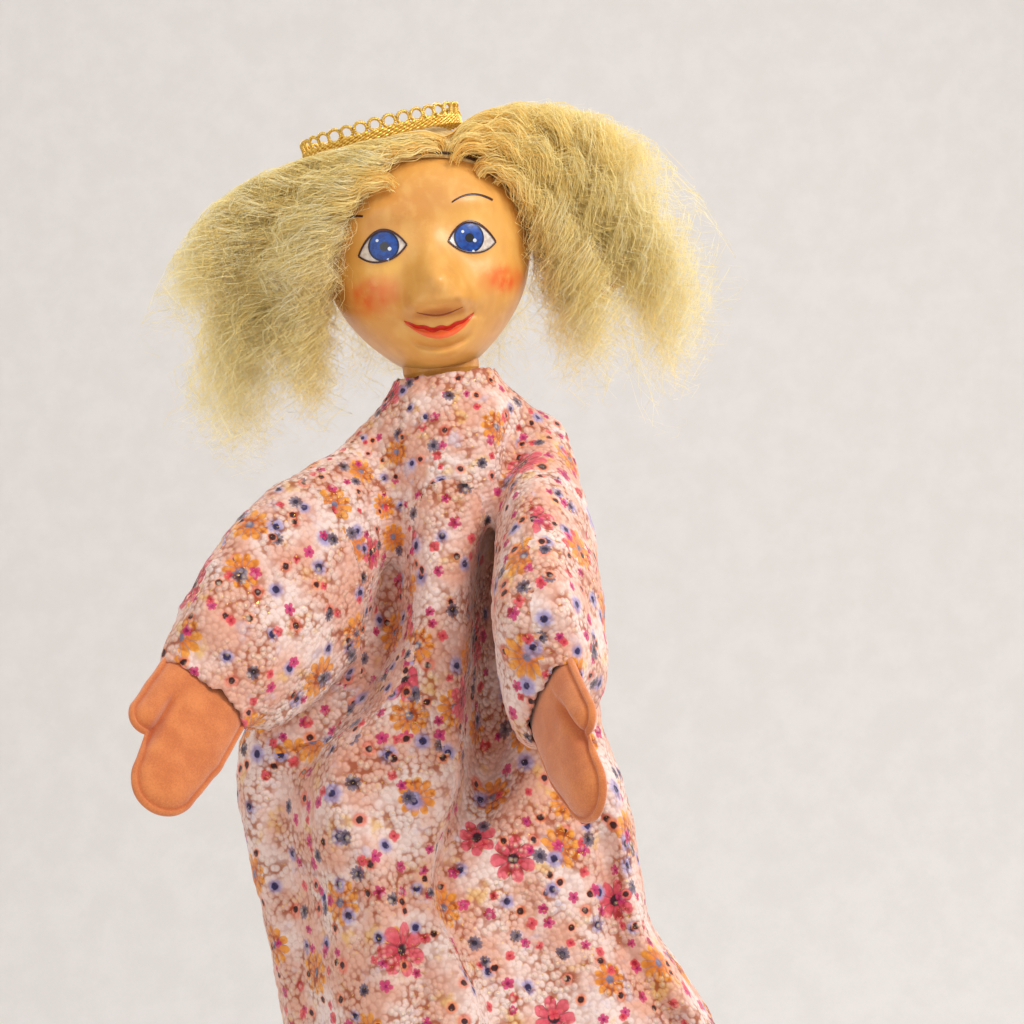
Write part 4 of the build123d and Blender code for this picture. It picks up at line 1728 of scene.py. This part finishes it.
    def _flatten(self, points: Array, faces: Array) -> Array:
        """Cloth coordinates from an unwrap along the side seams and armholes, at true size.

        Args:
            points, faces: the garment.
        Returns:
            UVs in metres, one per face corner.
        """
        obj = MeshMaker.build("garment_flat", points, faces)
        mid = points[faces].mean(1)
        front = (mid[:, 1] < falling(mid[:, 2], [(24, 0.5), (0, 2), (-50, 4), (-255, 4)])).astype(int)
        group = np.zeros(len(mid), int)
        for arm in ARMS:
            on = self._arm_share(arm, mid) > 0
            side = np.cross(arm.along, arm.tall)
            side = side if side[1] < 0 else -side
            inward = (mid - np.array(arm.start)) @ side
            front = np.where(on, inward > 0, front)
            group = np.where(self._arm_share(arm, mid) > 0, 2 + arm.side.value, group)
        front = front + 2 * group
        mesh = obj.data
        seam_of: dict[tuple[int, int], list[int]] = {}
        for f, flag in zip(faces.tolist(), front.tolist()):
            for i in range(4):
                e = (f[i], f[(i + 1) % 4])
                seam_of.setdefault((min(e), max(e)), []).append(flag)
        seams = [len(v) == 2 and v[0] != v[1] for v in (seam_of[tuple(sorted(e.vertices))] for e in mesh.edges)]
        mesh.edges.foreach_set("use_seam", seams)
        mesh.uv_layers.new(name="UVMap")
        bpy.context.view_layer.objects.active = obj
        obj.select_set(True)
        bpy.ops.object.mode_set(mode="EDIT")
        bpy.ops.mesh.select_all(action="SELECT")
        bpy.ops.uv.unwrap(method="ANGLE_BASED", margin=0.02)
        bpy.ops.uv.select_all(action="SELECT")
        bpy.ops.uv.average_islands_scale()
        bpy.ops.object.mode_set(mode="OBJECT")
        uv = np.empty(len(mesh.loops) * 2, np.float32)
        mesh.uv_layers[0].data.foreach_get("uv", uv)
        uv = uv.reshape(-1, 4, 2).astype(float)
        bpy.data.objects.remove(obj)

        def area(q: Array) -> Array:
            """Area of flat quads: half the cross product of their diagonals."""
            d1, d2 = q[:, 2] - q[:, 0], q[:, 3] - q[:, 1]
            return np.abs(d1[:, 0] * d2[:, 1] - d1[:, 1] * d2[:, 0]) / 2

        quad = points[faces]
        real = np.linalg.norm(np.cross(quad[:, 2] - quad[:, 0], quad[:, 3] - quad[:, 1]), axis=1) / 2
        scale = np.sqrt(np.median(real / np.maximum(area(uv), 1e-12)))
        LOG.info("cloth: %d faces, print scale %.1f", len(faces), scale)
        return uv.reshape(-1, 2) * scale * MM

    def make(self) -> list[bpy.types.Object]:
        """Builds the dress.

        Returns:
            The torso and both sleeves.
        """
        points, faces = self._fuse([self._torso()] + [self._sleeve(arm) for arm in ARMS])
        points = self._relax(points, faces, 5, 0.5)
        faces = self._trim(points, faces)
        used, index = np.unique(faces, return_inverse=True)
        points, faces = points[used], index.reshape(-1, 4)
        uv = self._flatten(points, faces)
        whole = MeshMaker.build("garment", points, faces, self.palette.cloth)
        layer = whole.data.uv_layers.new(name="UVMap")
        layer.data.foreach_set("uv", uv.astype(np.float32).ravel())
        sub = whole.modifiers.new("subdivide", "SUBSURF")
        sub.levels = sub.render_levels = 1
        graph = bpy.context.evaluated_depsgraph_get()
        mesh = bpy.data.meshes.new_from_object(whole.evaluated_get(graph))
        bpy.data.objects.remove(whole)
        co = np.empty(len(mesh.vertices) * 3, np.float32)
        mesh.vertices.foreach_get("co", co)
        co = co.reshape(-1, 3).astype(float) / MM
        normal = np.empty(len(mesh.vertices) * 3, np.float32)
        mesh.vertices.foreach_get("normal", normal)
        normal = normal.reshape(-1, 3)
        nubs = noise3(co, 2.3, 2.0) * 0.38 + noise3(co, 9.0, 5.0) * 0.8
        co = co + normal * nubs[:, None]
        loops = np.empty(len(mesh.loops), np.int32)
        mesh.loops.foreach_get("vertex_index", loops)
        quads = loops.reshape(-1, 4)
        uv = np.empty(len(mesh.loops) * 2, np.float32)
        mesh.uv_layers[0].data.foreach_get("uv", uv)
        uv = uv.reshape(-1, 4, 2)
        mid = co[quads].mean(1)
        owner = np.zeros(len(quads), int)
        for i, arm in enumerate(ARMS, 1):
            owner[self._arm_share(arm, mid) > 0] = i
        pieces = []
        for i, name in enumerate(("dress_torso", "dress_right_sleeve", "dress_left_sleeve")):
            pieces.append(self._piece(name, co, quads[owner == i], uv[owner == i]))
        self._dress(pieces)
        return pieces

    def _piece(self, name: str, co: Array, quads: Array, uv: Array) -> bpy.types.Object:
        """One part of the garment as a thin double-sided sheet.

        Args:
            name: the piece's name.
            co: the garment's vertices in mm.
            quads: the part's faces.
            uv: their cloth coordinates.
        Returns:
            The piece.
        """
        used, index = np.unique(quads, return_inverse=True)
        obj = MeshMaker.build(name, co[used], index.reshape(-1, 4), self.palette.cloth)
        obj.data.uv_layers.new(name="UVMap").data.foreach_set("uv", uv.astype(np.float32).ravel())
        solid = obj.modifiers.new("thickness", "SOLIDIFY")
        solid.thickness, solid.offset = self.thickness * MM, -1.0
        quad = co[quads]
        area = np.linalg.norm(np.cross(quad[:, 2] - quad[:, 0], quad[:, 3] - quad[:, 1]), axis=1).sum() / 2
        LOG.info("%s: %d faces, %.4f m2", name, len(quads), area * 1e-6)
        return obj

    def _dress(self, pieces: list[bpy.types.Object]) -> None:
        """Args:
            pieces: the torso and both sleeves.
        """
        torso, right, left = pieces
        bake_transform(torso)
        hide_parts("collar", "dress_front", "dress_back", "hem_band")
        for arm, piece in zip(ARMS, (right, left)):
            flat = unit(arm.along * np.array([1, 1, 0.0]))
            axis = unit(flat * 0.55 + arm.along * 0.45)
            start = np.array(arm.start) + axis * 10.0
            word = arm.side.word
            tuple(start * MM)
            tuple((start + axis * 26.0) * MM)
            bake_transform(piece)
            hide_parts(f"{word}_sleeve_front", f"{word}_sleeve_back", f"{word}_cuff")


# ---------------------------------------------------------------- hands
@dataclass
class Hand:
    """Felt mitten of two layers sewn round a flat rim, lightly filled."""

    palette: Palette
    arm: ArmPlan
    lobes: tuple[tuple[tuple[float, float, float], ...], ...] = (
        ((6.0, 0.0, 16.6), (24.0, -3.5, 14.3), (39.5, -5.0, 11.6)),
        ((6.0, 9.0, 9.5), (25.5, 11.6, 6.6)),
    )
    thickness: float = 5.6

    def _distance(self, x: Array, y: Array) -> Array:
        """Distance inside the mitten's outline: the largest over its tapered lobes.

        Args:
            x, y: positions in the hand's frame, in mm.
        Returns:
            The distance, below 0 outside.
        """
        best = np.full(x.shape, -99.0)
        for lobe in self.lobes:
            for (x0, y0, r0), (x1, y1, r1) in zip(lobe, lobe[1:]):
                dx, dy = x1 - x0, y1 - y0
                t = np.clip(((x - x0) * dx + (y - y0) * dy) / (dx * dx + dy * dy), 0, 1)
                best = np.maximum(best, r0 + (r1 - r0) * t - np.hypot(x - x0 - dx * t, y - y0 - dy * t))
        return best

    def _outline(self, count: int) -> tuple[Array, Array]:
        """Outline by rays from a point inside the palm, found by halving.

        Args:
            count: how many rays.
        Returns:
            Their angles and lengths.
        """
        a = np.linspace(0, 2 * np.pi, count, endpoint=False)
        low, high = np.zeros(count), np.full(count, 60.0)
        ox, oy = 20.0, 2.0
        for _ in range(30):
            mid = (low + high) / 2
            inside = self._distance(ox + mid * np.cos(a), oy + mid * np.sin(a)) > 0
            low, high = np.where(inside, mid, low), np.where(inside, high, mid)
        return a, low

    def make(self) -> bpy.types.Object:
        """Builds the mitten.

        The half thickness grows from a flat rim, over a stitched groove, to the filled middle.
        Returns:
            The mitten, riding on its hand.
        """
        rays, rings = 220, 46
        a, reach = self._outline(rays)
        rho = 1 - (1 - np.linspace(0.0003, 1, rings)) ** 1.5
        x = 20.0 + rho[:, None] * reach * np.cos(a)
        y = 2.0 + rho[:, None] * reach * np.sin(a)
        d = np.maximum(self._distance(x, y), 0)
        rim = 1.35 * np.sqrt(np.clip(d / 0.9, 0, 1))
        fill = (self.thickness - 1.35) * (1 - np.exp(-np.clip(d - 1.7, 0, None) / 4.4))
        groove = -0.45 * np.exp(-(((d - 1.8) / 0.6) ** 2))
        palm_fold = (
            np.exp(-(((y - 7.2 + (x - 30) * 0.10) / 1.5) ** 2)) * smooth_step((x - 12) / 8)
            * smooth_step((37 - x) / 6)
        )
        cup = 0.9 * np.exp(-(((x - 24) / 12) ** 2 + ((y + 2) / 8) ** 2))
        h_top = np.maximum(rim + fill + groove - 1.5 * palm_fold - cup, 0.0 * d)
        h_low = np.maximum(rim + fill + groove - 0.9 * palm_fold, 0.0 * d)
        curl = -0.0032 * np.clip(x - 16, 0, None) ** 2
        top = np.stack([x, y, h_top + curl], -1).reshape(-1, 3)
        low = np.stack([x, y, -h_low + curl], -1).reshape(-1, 3)
        n = rings * rays
        grid = MeshMaker.grid(rings, rays, True)
        points = np.concatenate([top, low])
        faces = np.concatenate([grid, grid[:, ::-1] + n])
        along = unit(np.array(self.arm.hand))
        thumb = np.array(self.arm.thumb)
        thumb = unit(thumb - along * (thumb @ along))
        palm = np.cross(along, thumb)
        inward = palm if (palm[0] * self.arm.side.value < 0) else -palm
        if np.dot(palm, inward) < 0:
            faces = faces[:, ::-1]
        # tone: painted shade, darker in the stitched groove round the rim and along the palm fold
        tone = np.concatenate([
            1 - 0.5 * np.exp(-(((d - 1.8) / 0.7) ** 2)) - 0.5 * palm_fold,
            1 - 0.5 * np.exp(-(((d - 1.8) / 0.7) ** 2))
        ]).ravel()
        world = (
            np.array(self.arm.wrist) + points[:, :1] * along + points[:, 1:2] * thumb + points[:, 2:] * inward
        )
        world = world + unit(world - world.mean(0)) * (noise3(world, 7.0, 8.0) * 0.25)[:, None]
        word = self.arm.side.word
        hand = MeshMaker.build(
            f"{word}_felt_mitten", world, faces, self.palette.felt, attributes={"tone": tone}
        )
        weld = hand.modifiers.new("weld", "WELD")
        weld.merge_threshold = 0.00002
        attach(hand, f"{word}_hand")
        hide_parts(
            f"{word}_palm_felt", f"{word}_back_felt", f"{word}_hand_filling", f"{word}_hand_stitches"
        )
        return hand


# ---------------------------------------------------------------- stage
@dataclass
class Studio:
    """Pale wall and floor, soft lights and the camera."""

    palette: Palette
    camera_at: tuple[float, float, float] = (-58.78, -1098.58, -32.01)
    target: tuple[float, float, float] = (17.95, -1.26, -32.01)
    roll: float = 7.0
    lens: float = 113.7

    def _camera(self) -> None:
        """Camera that looks from the front, turned so that the puppet leans to the picture's left."""
        back = unit(np.array(self.camera_at) - np.array(self.target))
        right = unit(np.cross([0, 0, 1.0], back))
        up = np.cross(back, right)
        a = math.radians(self.roll)
        r, u = right * math.cos(a) - up * math.sin(a), right * math.sin(a) + up * math.cos(a)
        data = bpy.data.cameras.new("camera")
        data.lens, data.sensor_width = self.lens, 36.0
        data.clip_start, data.clip_end = 0.05, 20.0
        cam = bpy.data.objects.new("camera", data)
        m = Matrix([
            [r[0], u[0], back[0], 0], [r[1], u[1], back[1], 0], [r[2], u[2], back[2], 0], [0, 0, 0, 1]
        ])
        m.translation = Vector([c * MM for c in self.camera_at])
        cam.matrix_world = m
        bpy.context.scene.collection.objects.link(cam)
        bpy.context.scene.camera = cam

    def _light(
        self, name: str, at: tuple[float, float, float], size: float, power: float, colour: tuple
    ) -> None:
        """Square soft light that points at the puppet's chest.

        Args:
            name: its name.
            at: its place in metres.
            size: its side.
            power: its power.
            colour: its colour.
        """
        data = bpy.data.lights.new(name, "AREA")
        data.size, data.energy, data.color = size, power, colour
        lamp = bpy.data.objects.new(name, data)
        lamp.location = at
        lamp.rotation_euler = (Vector((0, 0, -0.03)) - Vector(at)).to_track_quat("-Z", "Y").to_euler()
        bpy.context.scene.collection.objects.link(lamp)

    def make(self) -> None:
        """Builds the studio."""
        self._camera()
        t = np.linspace(0, 1, 40)
        y = np.concatenate([
            np.linspace(-12000, 1800, 20), 1800 + 800 * np.sin(t * np.pi / 2), np.full(12, 2600.0)
        ])
        z = np.concatenate([
            np.full(20, -950.0), -150 - 800 * np.cos(t * np.pi / 2), np.linspace(-100, 6000, 12)
        ])
        x = np.linspace(-12000, 12000, 12)
        points = np.stack(
            [
                np.broadcast_to(x[None], (len(y), 12)), np.broadcast_to(y[:, None], (len(y), 12)),
                np.broadcast_to(z[:, None], (len(y), 12))
            ],
            -1
        )
        sweep = MeshMaker.build(
            "backdrop", points.reshape(-1, 3), MeshMaker.grid(len(y), 12, False)[:, ::-1], self.palette.wall
        )
        self._light("key", (1.0, -0.9, 0.85), 0.6, 17.0, (1.0, 0.97, 0.93))
        self._light("fill", (-1.3, -1.1, 0.3), 1.4, 5.0, (1.0, 0.97, 0.95))
        self._light("back", (-0.4, 1.1, 0.9), 0.9, 9.0, (1.0, 0.97, 0.93))
        self._light("wall", (1.9, 1.2, 0.9), 1.2, 30.0, (1.0, 0.98, 0.97))
        world = bpy.data.worlds.new("studio")
        world.use_nodes = True
        world.node_tree.nodes["Background"].inputs[0].default_value = (0.93, 0.92, 0.92, 1)
        world.node_tree.nodes["Background"].inputs[1].default_value = 0.72
        bpy.context.scene.world = world
        bpy.context.scene.view_settings.view_transform = "Standard"


def finish_nodes(frame: dict, palette: Palette) -> None:
    """Gives each CAD node that still shows its procedural material.

    Args:
        frame: what the loader returned.
        palette: the materials.
    """
    plan = {
        "neck": palette.neck,
        "finger_lining": palette.lining,
        "wig_cap": palette.pelt,
        "hairline_cord": palette.thread,
        "neck_drawstring": palette.cord,
        "drawstring_knot": palette.cord,
        "right_finger_tube": palette.lining,
        "left_finger_tube": palette.lining,
    }
    for name, material in plan.items():
        node = frame["nodes"][name]
        for slot in node.material_slots:
            slot.material = material


def main() -> None:
    """Builds every piece in order."""
    logging.basicConfig(level=logging.INFO, format="%(name)s: %(message)s")
    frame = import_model()
    palette = Palette()
    Studio(palette).make()
    head = Head(palette)
    LOG.info("head: %d pieces", len(head.make()))
    LOG.info("hair: %d pieces", len(Hair(palette, head).make()))
    LOG.info("crown: %d pieces", len(Crown(palette).make()))
    LOG.info("dress: %d pieces", len(Dress(palette).make()))
    for arm in ARMS:
        LOG.info("hand: %s", Hand(palette, arm).make().name)
    finish_nodes(frame, palette)


if __name__ == "__main__":
    main()
